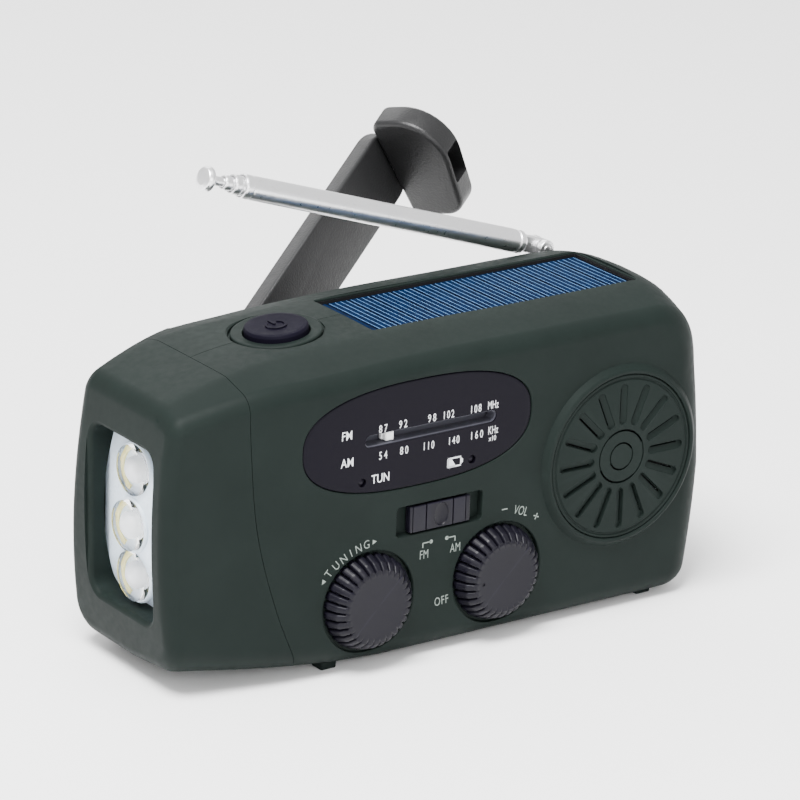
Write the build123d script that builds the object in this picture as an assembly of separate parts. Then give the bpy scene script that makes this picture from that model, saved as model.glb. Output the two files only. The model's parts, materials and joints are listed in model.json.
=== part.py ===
from build123d import *
import math
import os

# Hand-crank and solar emergency radio. Millimetres, +Z up, front (controls) towards -Y.
# The origin is the centre of the case's flat underside; four feet stand 1 mm below it.

# ---- driving dimensions ----
HALF_DEPTH = 22.5        # case half depth at the widest part
HEIGHT = 62.5            # case height above the underside
END_X = 62.4             # right end of the case
LAMP_X = -61.3           # foremost point of the lamp face at the left end
CREST_R = 12.0           # round from the top into the right end
END_R = 6.5              # round of the upright right-hand edges
UNDERSIDE = ((-58.4, 2.5), (-51.0, 1.7), (-38.0, 0.8), (-12.0, 0.0))    # rise under the lamp head
TOP_BAND = 10.5          # half width of the level band along the top
BEVEL_SLOPE = 0.28       # fall of the bevels beside that band
WALL = 2.0
FOOT_HEIGHT = 1.0

CRANK_X, CRANK_Z = -21.5, 35.1      # crank shaft axis, along Y
CRANK_PIVOT_Y = 27.8                # arm hinge pin
CRANK_ANGLE = 29.8                  # arm above the +X direction at rest
CRANK_OPEN = 24.0                   # arm tilted away from the back at rest
ARM_REACH = 77.1                    # hinge pin to grip pin
ARM_THICK = 4.0
ARM_WIDTH = 15.2
GRIP_THICK = 6.0
GRIP_ACROSS = (-13.3, 11.5)         # ends of the grip across the arm
GRIP_TOPS = (15.0, 19.2)            # its height above the arm's middle at those ends
GRIP_ROUNDS = (2.5, 2.5, 9.5, 5.0)  # corner rounds: two next to the arm, two at the top
RIVET_END = 13.2
POCKET_MIDDLE = -1.25

GEAR_MODULE = 0.6
PRESSURE_ANGLE = 25.0
DRIVE_TEETH, LARGE_TEETH, PINION_TEETH = 36, 32, 10
COMPOUND_DIRECTION, GENERATOR_DIRECTION = -35.0, 25.0

TUNE_X, VOLUME_X, KNOB_Z = -18.8, 10.9, 12.7
KNOB_R = 9.7
KNOB_FLUTES = 30
SPEAKER_X, SPEAKER_Z = 39.2, 31.4
SPEAKER_BOSS_R, SPEAKER_DISC_R = 18.7, 16.6
SPEAKER_SLOTS = 16

WINDOW_X, WINDOW_Z = -8.2, 44.8
WINDOW_HALF = (26.0, 10.7)
DIAL_SLOT = (-20.5, 9.6)
DIAL_Z = 44.9
POINTER_X = -14.3
RAIL_ENDS, RAIL_Y, RAIL_Z = (-24.5, 13.5), -17.6, 51.3
TUNE_LAMP_X, BATTERY_LAMP_X, INDICATOR_Z = -20.9, 4.2, 37.0

SWITCH_X, SWITCH_Z = -3.0, 27.4
SWITCH_RECESS = (19.8, 6.0)
SLIDER_SIZE = (13.9, 5.2)
SLIDER_TRAVEL = 2.4                 # each way
STEM_HALF = 1.6

BUTTON_X, BUTTON_Z = -26.0, 61.2
BUTTON_TILT = 6.0
BUTTON_R, BEZEL_R, GROOVE_R = 6.2, 8.8, 9.7

SOLAR = (-11.0, 51.5, 10.0)         # left end, right end, half width of the opening
SOLAR_FLOOR, SOLAR_TOP = 59.2, 60.4

LENS_Y, LENS_Z = 12.0, (12.5, 46.5)
LENS_BOW = (-57.6, -54.2)           # front of the lens at mid height and at its ends
LENS_THICK = 1.2
LED_Z = (39.3, 28.5, 18.2)
DOME_R, DOME_RISE = 4.9, 2.0        # clear dome moulded over each LED

ANTENNA = (50.5, 20.3, 60.2)        # tilt pin
ANTENNA_ANGLE = 18.0
CHANNEL_END = -38.5                 # the channel stops short of the lamp head
TUBE_RADII = (2.4, 1.95, 1.45, 0.95)
TUBE_ENDS = ((8.0, 75.5), (10.0, 77.8), (12.0, 79.8), (14.0, 81.8))
TIP_R, TIP_NECK, TIP_DOME = 2.5, 1.5, 1.5

BATTERY_X, BATTERY_Y, BATTERY_Z = (-32.0, 18.0), 10.5, 9.6
PORT_COVER = ((22.0, 48.0), (5.5, 17.5))
SCREWS = ((-38.0, 47.5), (31.0, 52.5), (-36.0, 8.5), (53.5, 8.5))
SCREW_R, SCREW_HEAD_R, BOSS_R = 1.2, 2.1, 3.2
POCKET_FLOOR = 12.0                 # screw heads seat this far behind the seam
USB_X, USB_Z = (26.4, 39.6), (8.6, 14.2)
CHARGE_X, CHARGE_Z = (41.4, 46.4), (9.5, 13.5)
PORT_WALL, PORT_CORNER = 0.35, 0.3

BOARD_Y = (-9.2, -8.0)
BOARD_SCREWS = ((-31.0, 40.0), (17.5, 40.0))
ROD_Y, ROD_Z, ROD_R = -8.6, 51.4, 4.0
SHAFT_R, BUSH_R = 3.0, 5.1
PIN_R = 0.8
FEET = ((-25.0, 17.0), (50.0, 17.0))
LEAN = ((-60.0, 16.9, 30.0), (-60.0, 14.0, 55.8), (-40.0, 20.6, 58.5))

os.makedirs("parts", exist_ok=True)


# ---- small helpers ----
def save(name, shape):
    """Writes one sub-part, as one solid or as a compound of its solids."""
    solids = list(shape.solids())
    export_step(solids[0] if len(solids) == 1 else Compound(children=solids), f"parts/{name}.step")


def box(x, y, z):
    """A block between pairs of limits."""
    size = [b - a for a, b in (x, y, z)]
    middle = [(a + b) / 2 for a, b in (x, y, z)]
    return Pos(*middle) * Box(*size)


def rod_y(radius, y, x, z):
    return Pos(x, (y[0] + y[1]) / 2, z) * Rot(90, 0, 0) * Cylinder(radius, y[1] - y[0])


def rod_x(radius, x, y, z):
    return Pos((x[0] + x[1]) / 2, y, z) * Rot(0, 90, 0) * Cylinder(radius, x[1] - x[0])


def rod_z(radius, z, x, y):
    return Pos(x, y, (z[0] + z[1]) / 2) * Cylinder(radius, z[1] - z[0])


def turned_y(points, x=0.0, z=0.0):
    """A turned piece on an axis along Y, from (radius, y) points."""
    with BuildPart() as part:
        with BuildSketch(Plane.XY):
            with BuildLine():
                Polyline(*points, close=True)
            make_face()
        revolve(axis=Axis.Y)
    return Pos(x, 0, z) * part.part


def prism_y(outline, y):
    """A face drawn in the XZ plane, made into a prism between two y values."""
    return Solid.extrude(outline.moved(Location((0, y[1], 0))), Vector(0, y[0] - y[1], 0))


def rounded_xz(x, z, radius):
    with BuildSketch(Plane.XZ) as s:
        with Locations(((x[0] + x[1]) / 2, (z[0] + z[1]) / 2)):
            RectangleRounded(x[1] - x[0], z[1] - z[0], radius)
    return s.sketch.face()


def polygon_xz(points):
    with BuildSketch(Plane.XZ) as s:
        with BuildLine():
            Polyline(*points, close=True)
        make_face()
    return s.sketch.face()


# ---- case shape ----
def top_profile(inset):
    """Crest of the case in side view, with the round right end; it is open-ended downwards."""
    height = HEIGHT - inset
    radius = CREST_R - inset
    end = END_X - inset
    side = end - 0.4
    crest = [(-70, 51.4 - inset), (-44, 59.5 - inset), (-26, 61.3 - inset), (8, height)]
    with BuildSketch(Plane.XZ) as s:
        with BuildLine():
            rise = Spline(*crest, tangents=[(1, 0.34), (1, 0)])
            level = Line(rise @ 1, (side - radius, height))
            corner = RadiusArc(level @ 1, (side, height - radius), radius)
            right = ThreePointArc(corner @ 1, (end, 32), (end - 1.8, 8))
            Polyline(right @ 1, (end - 1.8, -40), (-70, -40), rise @ 0)
        make_face()
    return s.sketch.face()


def side_profile(inset):
    """Bowed lamp face and the underside, in side view."""
    with BuildSketch(Plane.XZ) as s:
        with BuildLine():
            foot = (-58.9 + 0.83 * inset, 3.6 + inset)
            face = ThreePointArc((-54.0 + inset, 80), (LAMP_X + inset, 30), foot)
            chin, *rest = [(x, z + inset) for x, z in UNDERSIDE]
            edge = Line(face @ 1, (chin[0] + inset, chin[1]))
            rise = Spline(edge @ 1, *rest, tangents=[(1, -0.1), (1, 0)])
            Polyline(rise @ 1, (70, inset), (70, 80), face @ 0)
        make_face()
    return s.sketch.face()


def plan_profile(inset):
    """Case in plan: level sides that draw in towards the lamp."""
    half = HALF_DEPTH - inset
    end = END_X + 0.4 - inset
    corner = END_R - inset / 2
    side = [(-64, inset - 16.9), (-45, inset - 20.6), (-32, inset - 22.2), (-16, -half)]
    with BuildSketch(Plane.XY) as s:
        with BuildLine():
            taper = Spline(*side, tangents=[(1, -0.22), (1, 0)])
            front = Line(taper @ 1, (end - corner, -half))
            turn = RadiusArc(front @ 1, (end, corner - half), -corner)
            Polyline(turn @ 1, (end, 0), (-64, 0), taper @ 0)
        make_face()
        mirror(about=Plane.XZ)
    return s.sketch.face()


def lean_cut(inset):
    """Half space that pares the rear top corner of the lamp head."""
    a, b, c = (Vector(*p) for p in LEAN)
    normal = (b - a).cross(c - a).normalized()
    plane = Plane(origin=a - normal * inset, z_dir=normal)
    return plane.location * Pos(0, 0, 20) * Box(90, 90, 40)


def skin(inset):
    """The case as a solid, with every face moved in by inset."""
    profile = top_profile(inset)
    run = 15
    band = prism_y(profile, (-TOP_BAND, TOP_BAND))
    wings = [
        Solid.extrude(profile.moved(Location((0, s * TOP_BAND, 0))), Vector(0, s * run, -run * BEVEL_SLOPE))
        for s in (-1, 1)
    ]
    crest = Part() + band + wings[0] + wings[1]
    side = prism_y(side_profile(inset), (-30, 30))
    plan = Solid.extrude(plan_profile(inset), Vector(0, 0, 90))
    return (Part() + (crest & side & plan).solids()[0]) - lean_cut(inset)


OUTER = skin(0)
CAVITY = skin(WALL)
WINDOW_FLOOR = skin(1.5)


def lamp_side():
    """Everything left of the seam between lamp head and case."""
    with BuildSketch(Plane.XZ) as s:
        with BuildLine():
            seam = Spline((-44.9, 80), (-44.6, 46), (-43.0, 30), (-39.1, 15), (-31.0, -5))
            Polyline(seam @ 1, (-80, -5), (-80, 80), seam @ 0)
        make_face()
    return prism_y(s.sketch.face(), (-40, 40))


LAMP_SIDE = Part() + lamp_side()
FRONT = box((-80, 80), (-40, 0), (-10, 90))
REAR = box((-80, 80), (0, 40), (-10, 90))
SHELL = OUTER - CAVITY

BUTTON_PLACE = Pos(BUTTON_X, 0, BUTTON_Z) * Rot(0, -BUTTON_TILT, 0)


def superellipse(half_x, half_z, power=2.5, steps=48):
    """Window outline, drawn as one closed curve."""
    points = []
    for i in range(steps):
        a = 2 * math.pi * i / steps
        c, s = math.cos(a), math.sin(a)
        points.append((
            WINDOW_X + half_x * math.copysign(abs(c) ** (2 / power), c),
            WINDOW_Z + half_z * math.copysign(abs(s) ** (2 / power), s),
        ))
    with BuildSketch(Plane.XZ) as sk:
        with BuildLine():
            Spline(*points, periodic=True)
        make_face()
    return sk.sketch.face()


def solar_block():
    """Thick top wall that carries the solar panel's recess."""
    x0, x1, half = SOLAR
    return box((x0 - 2.5, x1 + 2.5), (-half - 2, half + 2), (57.4, 61.5)) & OUTER


def solar_recess():
    x0, x1, half = SOLAR
    return box((x0, x1), (-half, half), (SOLAR_FLOOR, 70))


def button_cut():
    """Groove and through hole for the bezel ring of the lamp button."""
    groove = Pos(0, 0, 2) * Cylinder(GROOVE_R, 5.2)
    hole = Cylinder(BEZEL_R + 0.05, 16)
    return BUTTON_PLACE * (groove + hole)


def dial_slot(y, grow=0.0):
    x0, x1 = DIAL_SLOT
    half = 1.25 + grow
    return prism_y(rounded_xz((x0 - grow, x1 + grow), (DIAL_Z - half, DIAL_Z + half), half - 0.01), y)


def knob_places():
    return ((TUNE_X, KNOB_Z), (VOLUME_X, KNOB_Z))


def front_housing():
    shell = (SHELL & FRONT) + (solar_block() & FRONT)
    for x, z in SCREWS:
        shell += rod_y(BOSS_R, (-21, 0), x, z) & OUTER
    shell += box((SWITCH_X - 12, SWITCH_X + 12), (-20.6, -19.4), (SWITCH_Z - 5, SWITCH_Z + 5))
    for x in RAIL_ENDS:
        out = math.copysign(2.0, x)
        shell += box(sorted((x, x + out)), (-21.5, -15.8), (RAIL_Z - 1.6, RAIL_Z + 1.6)) & OUTER
    rim = SPEAKER_DISC_R + 0.3
    shell += turned_y([(rim, -23.7), (rim + 0.7, -23.7), (SPEAKER_BOSS_R, -22.4),
                       (SPEAKER_BOSS_R, -20.4), (rim, -20.4)], SPEAKER_X, SPEAKER_Z)
    shell -= LAMP_SIDE
    shell -= prism_y(superellipse(*WINDOW_HALF), (-30, 0)) - WINDOW_FLOOR
    shell -= dial_slot((-24, -18))
    width, height = SWITCH_RECESS
    recess = rounded_xz((SWITCH_X - width / 2, SWITCH_X + width / 2),
                        (SWITCH_Z - height / 2, SWITCH_Z + height / 2), 0.8)
    shell -= prism_y(recess, (-26, -20.8))
    reach = SLIDER_TRAVEL + STEM_HALF + 0.6
    shell -= box((SWITCH_X - reach, SWITCH_X + reach), (-24, -18), (SWITCH_Z - 1.3, SWITCH_Z + 1.3))
    for x, z in knob_places():
        shell -= rod_y(KNOB_R + 0.5, (-30, -21.3), x, z)
        shell -= rod_y(SHAFT_R + 0.3, (-30, -15), x, z)
    shell -= rod_y(rim, (-30, -21.9), SPEAKER_X, SPEAKER_Z)
    shell -= rod_y(15.2, (-30, -18), SPEAKER_X, SPEAKER_Z)
    for x in (TUNE_LAMP_X, BATTERY_LAMP_X):
        shell -= rod_y(0.9, (-30, -18), x, INDICATOR_Z)
    shell -= button_cut()
    shell -= solar_recess()
    for x, z in SCREWS:
        shell -= rod_y(SCREW_R + 0.05, (-12, 1), x, z)
    return shell.solids().sort_by(SortBy.VOLUME)[-1]


def antenna_places():
    """The block, the notch and the channel for the folding antenna at the top rear edge."""
    x, y, z = ANTENNA
    block = (rod_z(6.4, (50.2, 64), x, y) + rod_x(4.6, (-46, 52), y, z)) & OUTER & REAR
    notch = rod_z(4.7, (54.0, 70), x, y) + box((x - 4.7, x + 4.7), (y, y + 10), (54.0, 70))
    channel = rod_x(3.1, (CHANNEL_END, x), y, z) + box((CHANNEL_END, x), (y, y + 10), (z - 3.1, 70))
    stud = rod_z(1.6, (51.5, 56), x, y)
    return block, notch + channel + stud


def rear_housing():
    shell = (SHELL & REAR) + (solar_block() & REAR)
    block, cut = antenna_places()
    shell += block
    shell += rod_y(8.8, (18.0, 22.7), CRANK_X, CRANK_Z)
    (x0, x1), (z0, z1) = PORT_COVER
    shell += box((x0 - 1.6, x1 + 1.6), (14.0, 21), (z0 - 1.6, z1 + 1.6))
    for x, z in SCREWS:
        shell += rod_y(BOSS_R, (0, 21), x, z) & OUTER
    shell += (BUTTON_PLACE * Pos(0, 7, -11.9) * Box(10, 26, 1.6)) & REAR & OUTER
    shell -= LAMP_SIDE
    shell -= cut
    shell -= rod_y(BUSH_R, (10, 30), CRANK_X, CRANK_Z)
    shell -= box((x0, x1), (20.6, 30), (z0, z1))
    shell -= prism_y(rounded_xz(USB_X, USB_Z, PORT_CORNER), (10, 25))
    shell -= prism_y(rounded_xz(CHARGE_X, CHARGE_Z, PORT_CORNER), (10, 25))
    shell -= button_cut()
    shell -= solar_recess()
    for x, z in SCREWS:
        shell -= rod_y(SCREW_R + 0.05, (-1, 20), x, z)
        shell -= rod_y(SCREW_HEAD_R + 0.2, (POCKET_FLOOR, 30), x, z)
    return shell.solids().sort_by(SortBy.VOLUME)[-1]


def lens_arc(x_middle, x_end):
    z0, z1 = LENS_Z
    return ThreePointArc((x_end, z1 + 1.2), (x_middle, (z0 + z1) / 2), (x_end, z0 - 1.2))


def lens_plate():
    """Bowed plate behind the opening of the lamp face."""
    with BuildSketch(Plane.XZ) as s:
        with BuildLine():
            outer = lens_arc(*LENS_BOW)
            inner = lens_arc(*[x + LENS_THICK for x in LENS_BOW])
            Line(outer @ 0, inner @ 0)
            Line(outer @ 1, inner @ 1)
        make_face()
    return prism_y(s.sketch.face(), (-LENS_Y - 1.0, LENS_Y + 1.0))


def lens_dome(z):
    """Round cap on the front of the lens."""
    middle = (LENS_Z[0] + LENS_Z[1]) / 2
    half = (LENS_Z[1] - LENS_Z[0]) / 2 + 1.2
    front = LENS_BOW[0] + (LENS_BOW[1] - LENS_BOW[0]) * ((z - middle) / half) ** 2
    ball = (DOME_R**2 + DOME_RISE**2) / (2 * DOME_RISE)
    room = box((front - DOME_RISE - 1, front + 0.6), (-DOME_R, DOME_R), (z - DOME_R, z + DOME_R))
    return Pos(front - DOME_RISE + ball, 0, z) * Sphere(ball) & room


def lamp_lens():
    plate = Part() + lens_plate() & lamp_opening(1.05, (-70, -50))
    for z in LED_Z:
        plate += lens_dome(z)
    return plate


def lamp_opening(grow, x):
    z0, z1 = LENS_Z
    with BuildSketch(Plane.YZ.offset(x[0])) as s:
        with Locations((0, (z0 + z1) / 2)):
            RectangleRounded(2 * (LENS_Y + grow), z1 - z0 + 2 * grow, 2.5 + grow)
    return extrude(s.sketch, x[1] - x[0], dir=(1, 0, 0))


def lamp_head():
    shell = SHELL & LAMP_SIDE
    collar = lamp_opening(2.6, (-62, -53.05)) - lamp_opening(1.1, (-63, -50))
    shell += collar & OUTER
    shell -= lamp_opening(0.0, (-70, -50))
    rebate = lamp_opening(1.1, (-70, -50)) - box((-80, -57.7), (-30, 30), (0, 70))
    shell -= rebate & (Part() + lens_space())
    channel = antenna_places()[1]
    shell -= channel
    return shell.solids().sort_by(SortBy.VOLUME)[-1]


def lens_space():
    """Room behind the lens's front surface."""
    with BuildSketch(Plane.XZ) as s:
        with BuildLine():
            outer = lens_arc(*LENS_BOW)
            Polyline(outer @ 1, (-45, LENS_Z[0] - 1.2), (-45, LENS_Z[1] + 1.2), outer @ 0)
        make_face()
    return prism_y(s.sketch.face(), (-20, 20))


# ---- lamp ----
def lamp_reflector():
    """Tray with three bowls; each bowl opens towards the lens."""
    tray = box((-53.0, -47.2), (-12.6, 12.6), (12.6, 46.2))
    for z in LED_Z:
        bowl = Pos(-50.6, 0, z) * Rot(0, -90, 0) * Cone(2.4, 4.9, 5.0)
        tray -= bowl
        tray -= rod_x(1.9, (-49, -46), 0, z)
    tray -= box((-54, -51.8), (-11.6, 11.6), (13.6, 45.2))
    return tray


def lamp_leds():
    """Three LEDs: a square base with a domed lens each."""
    leds = Part()
    for z in LED_Z:
        leds += rod_x(1.7, (-49.6, -47.0), 0, z) + Pos(-49.6, 0, z) * Sphere(1.7)
    return leds


def lamp_board():
    return box((-47.0, -45.8), (-12.4, 12.4), (12.6, 46.2))


# ---- top ----
def button_bezel():
    ring = Pos(0, 0, -0.6) * (Cylinder(BEZEL_R, 2.4) - Cylinder(BUTTON_R + 0.25, 6))
    lip = Pos(0, 0, -2.4) * (Cylinder(BEZEL_R, 1.2) - Cylinder(7.4, 6))
    return BUTTON_PLACE * (ring + lip)


def lamp_button():
    """Dished button with a retaining flange under the bezel."""
    cap = Cylinder(BUTTON_R, 4.6) - Pos(0, 0, 16.9) * Sphere(15)
    flange = Pos(0, 0, -2.7) * Cylinder(7.1, 0.8)
    stem = Pos(0, 0, -4.0) * Cylinder(1.5, 2.0)
    return BUTTON_PLACE * (cap + flange + stem)


def lamp_switch():
    """Tactile switch under the button."""
    body = Pos(0, 0, -8.2) * Box(6, 6, 3.4)
    plunger = Pos(0, 0, -6.25) * Cylinder(1.7, 0.5)
    return BUTTON_PLACE * (body + plunger)


def switch_board():
    return BUTTON_PLACE * Pos(0, 0, -10.5) * Box(13, 13, 1.2)


def solar_panel():
    x0, x1, half = SOLAR
    return box((x0 + 0.2, x1 - 0.2), (0.2 - half, half - 0.2), (SOLAR_FLOOR, SOLAR_TOP))


# ---- dial and controls on the front ----
def dial_window():
    plate = prism_y(superellipse(WINDOW_HALF[0] - 0.15, WINDOW_HALF[1] - 0.15), (-30, 0))
    window = (Part() + plate & skin(0.2)) - WINDOW_FLOOR
    window -= dial_slot((-24, -18))
    for x in (TUNE_LAMP_X, BATTERY_LAMP_X):
        window -= rod_y(0.9, (-30, -18), x, INDICATOR_Z)
    return window.solids().sort_by(SortBy.VOLUME)[-1]


def dial_scale():
    """Backing plate that closes the slot behind the pointer."""
    x0, x1 = DIAL_SLOT
    return box((x0 - 1.5, x1 + 1.5), (-18.9, -18.1), (DIAL_Z - 3, DIAL_Z + 3))


def dial_pointer():
    """White finger in the slot, on a runner that slides along the rail."""
    finger = box((POINTER_X - 1.2, POINTER_X + 1.2), (-21.7, -19.2), (DIAL_Z - 1.0, DIAL_Z + 1.0))
    arm = box((POINTER_X - 1.2, POINTER_X + 1.2), (-20.0, -19.2), (DIAL_Z - 1.0, RAIL_Z))
    runner = box((POINTER_X - 2.2, POINTER_X + 2.2), (-19.4, -15.8), (RAIL_Z - 2, RAIL_Z + 2))
    return finger + arm + runner - rod_x(1.05, (POINTER_X - 4, POINTER_X + 4), RAIL_Y, RAIL_Z)


def pointer_rail():
    return rod_x(1.0, RAIL_ENDS, RAIL_Y, RAIL_Z)


def indicator_lamps():
    lamps = Part()
    for x in (TUNE_LAMP_X, BATTERY_LAMP_X):
        lamps += rod_y(0.8, (-21.9, -16.0), x, INDICATOR_Z) + rod_y(1.4, (-18.6, -16.0), x, INDICATOR_Z)
    return lamps


def knob(x):
    """Conical knob with a flat face and a ring of scalloped flutes."""
    body = turned_y([(0, -21.5), (KNOB_R - 0.2, -21.5), (KNOB_R, -22.1), (8.5, -24.6),
                     (7.5, -25.5), (6.6, -25.8), (6.3, -25.6), (0, -25.6)])
    for i in range(KNOB_FLUTES):
        a = 360 * i / KNOB_FLUTES
        body -= Rot(0, a, 0) * Pos(10.35, -23.6, 0) * Rot(0, 0, -30) * Rot(90, 0, 0) * Cylinder(0.62, 6)
    bore = rod_y(SHAFT_R + 0.05, (-24.2, -21), 0, 0)
    return Pos(x, 0, KNOB_Z) * (body - bore)


def control_shaft(x, drum):
    """Shaft under a knob; the tuning shaft also carries the drive drum."""
    shaft = rod_y(SHAFT_R, (-24.2, -14.2), x, KNOB_Z)
    if drum:
        shaft += rod_y(7.5, (-16.2, -15.0), x, KNOB_Z) + rod_y(6.7, (-17.2, -16.2), x, KNOB_Z)
        shaft += rod_y(7.5, (-18.2, -17.2), x, KNOB_Z)
    return shaft


def tuning_capacitor():
    can = box((TUNE_X - 8, TUNE_X + 8), (-13.8, BOARD_Y[0]), (KNOB_Z - 8, KNOB_Z + 8))
    return can - rod_y(SHAFT_R + 0.05, (-20, -12.4), TUNE_X, KNOB_Z)


def volume_control():
    body = rod_y(8.0, (-13.8, BOARD_Y[0]), VOLUME_X, KNOB_Z)
    return body - rod_y(SHAFT_R + 0.05, (-20, -12.4), VOLUME_X, KNOB_Z)


def band_slider():
    """Ribbed slide button with a stem through the case."""
    w, h = SLIDER_SIZE
    slider = box((SWITCH_X - w / 2, SWITCH_X + w / 2), (-22.6, -21.1), (SWITCH_Z - h / 2, SWITCH_Z + h / 2))
    for offset in (-5.4, -3.9, 3.9, 5.4):
        slider -= box((SWITCH_X + offset - 0.4, SWITCH_X + offset + 0.4), (-23, -22.1), (20, 35))
    stem = box((SWITCH_X - STEM_HALF, SWITCH_X + STEM_HALF), (-21.2, -17.4), (SWITCH_Z - 1.0, SWITCH_Z + 1.0))
    return slider + stem


def band_switch():
    """Slide switch body on the board, with a slot for the slider's stem."""
    body = box((SWITCH_X - 8, SWITCH_X + 8), (-18.4, BOARD_Y[0]), (SWITCH_Z - 3.5, SWITCH_Z + 3.5))
    reach = SLIDER_TRAVEL + STEM_HALF + 0.4
    return body - box((SWITCH_X - reach, SWITCH_X + reach), (-20, -16.2), (SWITCH_Z - 1.3, SWITCH_Z + 1.3))


# ---- loudspeaker ----
def speaker_grille():
    """Disc with radial slots round two concentric rings of slots."""
    disc = rod_y(SPEAKER_DISC_R, (-23.5, -21.9), 0, 0) - rod_y(14.9, (-22.3, -20), 0, 0)
    for i in range(SPEAKER_SLOTS):
        slot = box((7.0, 14.4), (-25, -20), (-0.45, 0.45))
        disc -= Rot(0, 360 * (i + 0.5) / SPEAKER_SLOTS, 0) * slot
    for radius in (5.1, 2.6):
        ring = rod_y(radius + 0.3, (-25, -20), 0, 0) - rod_y(radius - 0.3, (-26, -19), 0, 0)
        disc -= ring - box((-9, 9), (-26, -19), (-1.3, 1.3))
    return Pos(SPEAKER_X, 0, SPEAKER_Z) * disc


def speaker_frame():
    ring = turned_y([(13.2, -21.8), (15.0, -21.8), (15.0, -20.2), (16.4, -20.2), (16.4, -19.0),
                     (13.4, -19.0), (8.6, -13.4), (8.6, -12.6), (5.2, -12.6), (5.2, -13.6),
                     (7.8, -13.6), (12.4, -19.3), (13.2, -19.6)], SPEAKER_X, SPEAKER_Z)
    return ring


def speaker_magnet():
    cup = rod_y(8.4, (-12.6, -8.6), 0, 0) - rod_y(6.4, (-13, -9.8), 0, 0)
    core = rod_y(4.4, (-13.4, -9.8), 0, 0)
    return Pos(SPEAKER_X, 0, SPEAKER_Z) * (cup + core)


def speaker_cone():
    return turned_y([(0, -18.9), (2.6, -18.4), (4.6, -16.0), (13.2, -20.8), (13.2, -20.2), (4.9, -15.4),
                     (4.9, -14.0), (4.6, -14.0), (4.6, -15.6), (2.3, -17.8), (0, -18.3)],
                    SPEAKER_X, SPEAKER_Z)


# ---- electronics ----
def main_board():
    board = box((-34, 20), BOARD_Y, (3.5, 46))
    for x, z in BOARD_SCREWS:
        board -= rod_y(1.1, (-10, -7), x, z)
    return board - rod_y(3.6, (-10, -7), SCREWS[2][0], SCREWS[2][1])


def board_screws():
    """Screws that hold the board on two posts of the front case."""
    screws = Part()
    for x, z in BOARD_SCREWS:
        screws += rod_y(1.0, (-13, BOARD_Y[1]), x, z) + rod_y(1.9, (BOARD_Y[1], -6.8), x, z)
    return screws


def board_posts():
    posts = Part()
    for x, z in BOARD_SCREWS:
        posts += (rod_y(2.4, (-21, BOARD_Y[0]), x, z) & CAVITY) - rod_y(1.05, (-14, -9), x, z)
    return posts


def ferrite_rod():
    return rod_x(ROD_R, (-14, 24), ROD_Y, ROD_Z)


def antenna_coil():
    return rod_x(4.9, (-4, 9), ROD_Y, ROD_Z) - rod_x(ROD_R + 0.05, (-6, 12), ROD_Y, ROD_Z)


def rod_clips():
    clips = Part()
    for x in (-12.5, 16.0):
        clips += box((x, x + 3), (-13.4, -3.8), (43.0, 56.4))
    slot = box((-30, 30), (BOARD_Y[0] - 0.05, BOARD_Y[1] + 0.05), (40, 46.05))
    return clips - rod_x(ROD_R + 0.05, (-20, 30), ROD_Y, ROD_Z) - slot


def battery():
    cell = rod_x(7.0, (BATTERY_X[0], BATTERY_X[1] - 1), BATTERY_Y, BATTERY_Z)
    return cell + rod_x(2.5, (BATTERY_X[1] - 1, BATTERY_X[1]), BATTERY_Y, BATTERY_Z)


def battery_cradle():
    tray = box((BATTERY_X[0] - 0.6, BATTERY_X[1] + 0.6), (3.0, 18.2), (2.0, 6.5)) & CAVITY
    return tray - rod_x(7.05, (BATTERY_X[0] - 0.1, BATTERY_X[1] + 0.1), BATTERY_Y, BATTERY_Z)


def port_shell(x, z, depth):
    """Metal shell of a charging socket, with its tongue."""
    wall = PORT_WALL
    outer = prism_y(rounded_xz(x, z, PORT_CORNER), (depth, 20.4))
    inner = prism_y(rounded_xz((x[0] + wall, x[1] - wall), (z[0] + wall, z[1] - wall), PORT_CORNER / 2),
                    (depth + 1.2, 22))
    middle = (z[0] + z[1]) / 2
    tongue = box((x[0] + wall + 1, x[1] - wall - 1), (depth + 1, 18.5), (middle, middle + 0.9))
    return (Part() + outer) - (Part() + inner) + tongue


def port_cover():
    """Hinged cover with a barrel along its lower edge and a finger lip at its top."""
    (x0, x1), (z0, z1) = PORT_COVER
    plate = box((x0 + 0.3, x1 - 0.3), (20.9, 22.3), (z0 + 1.4, z1 - 0.3))
    barrel = rod_x(0.8, (x0 + 0.3, x1 - 0.3), 21.6, z0 + 1.2)
    lip = box((x0 + 10, x1 - 10), (22.3, 22.9), (z1 - 1.6, z1 - 0.9))
    return plate + barrel + lip


def case_screws():
    screws = Part()
    for x, z in SCREWS:
        screws += rod_y(SCREW_R, (-11, POCKET_FLOOR), x, z)
        screws += rod_y(SCREW_HEAD_R, (POCKET_FLOOR, POCKET_FLOOR + 1.9), x, z)
    return screws


def feet():
    pads = Part()
    for x, y in FEET:
        for side in (-1, 1):
            pads += box((x - 1.8, x + 1.8), (side * y - 1.8, side * y + 1.8), (-FOOT_HEIGHT, 0.6))
    return pads - OUTER


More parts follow.
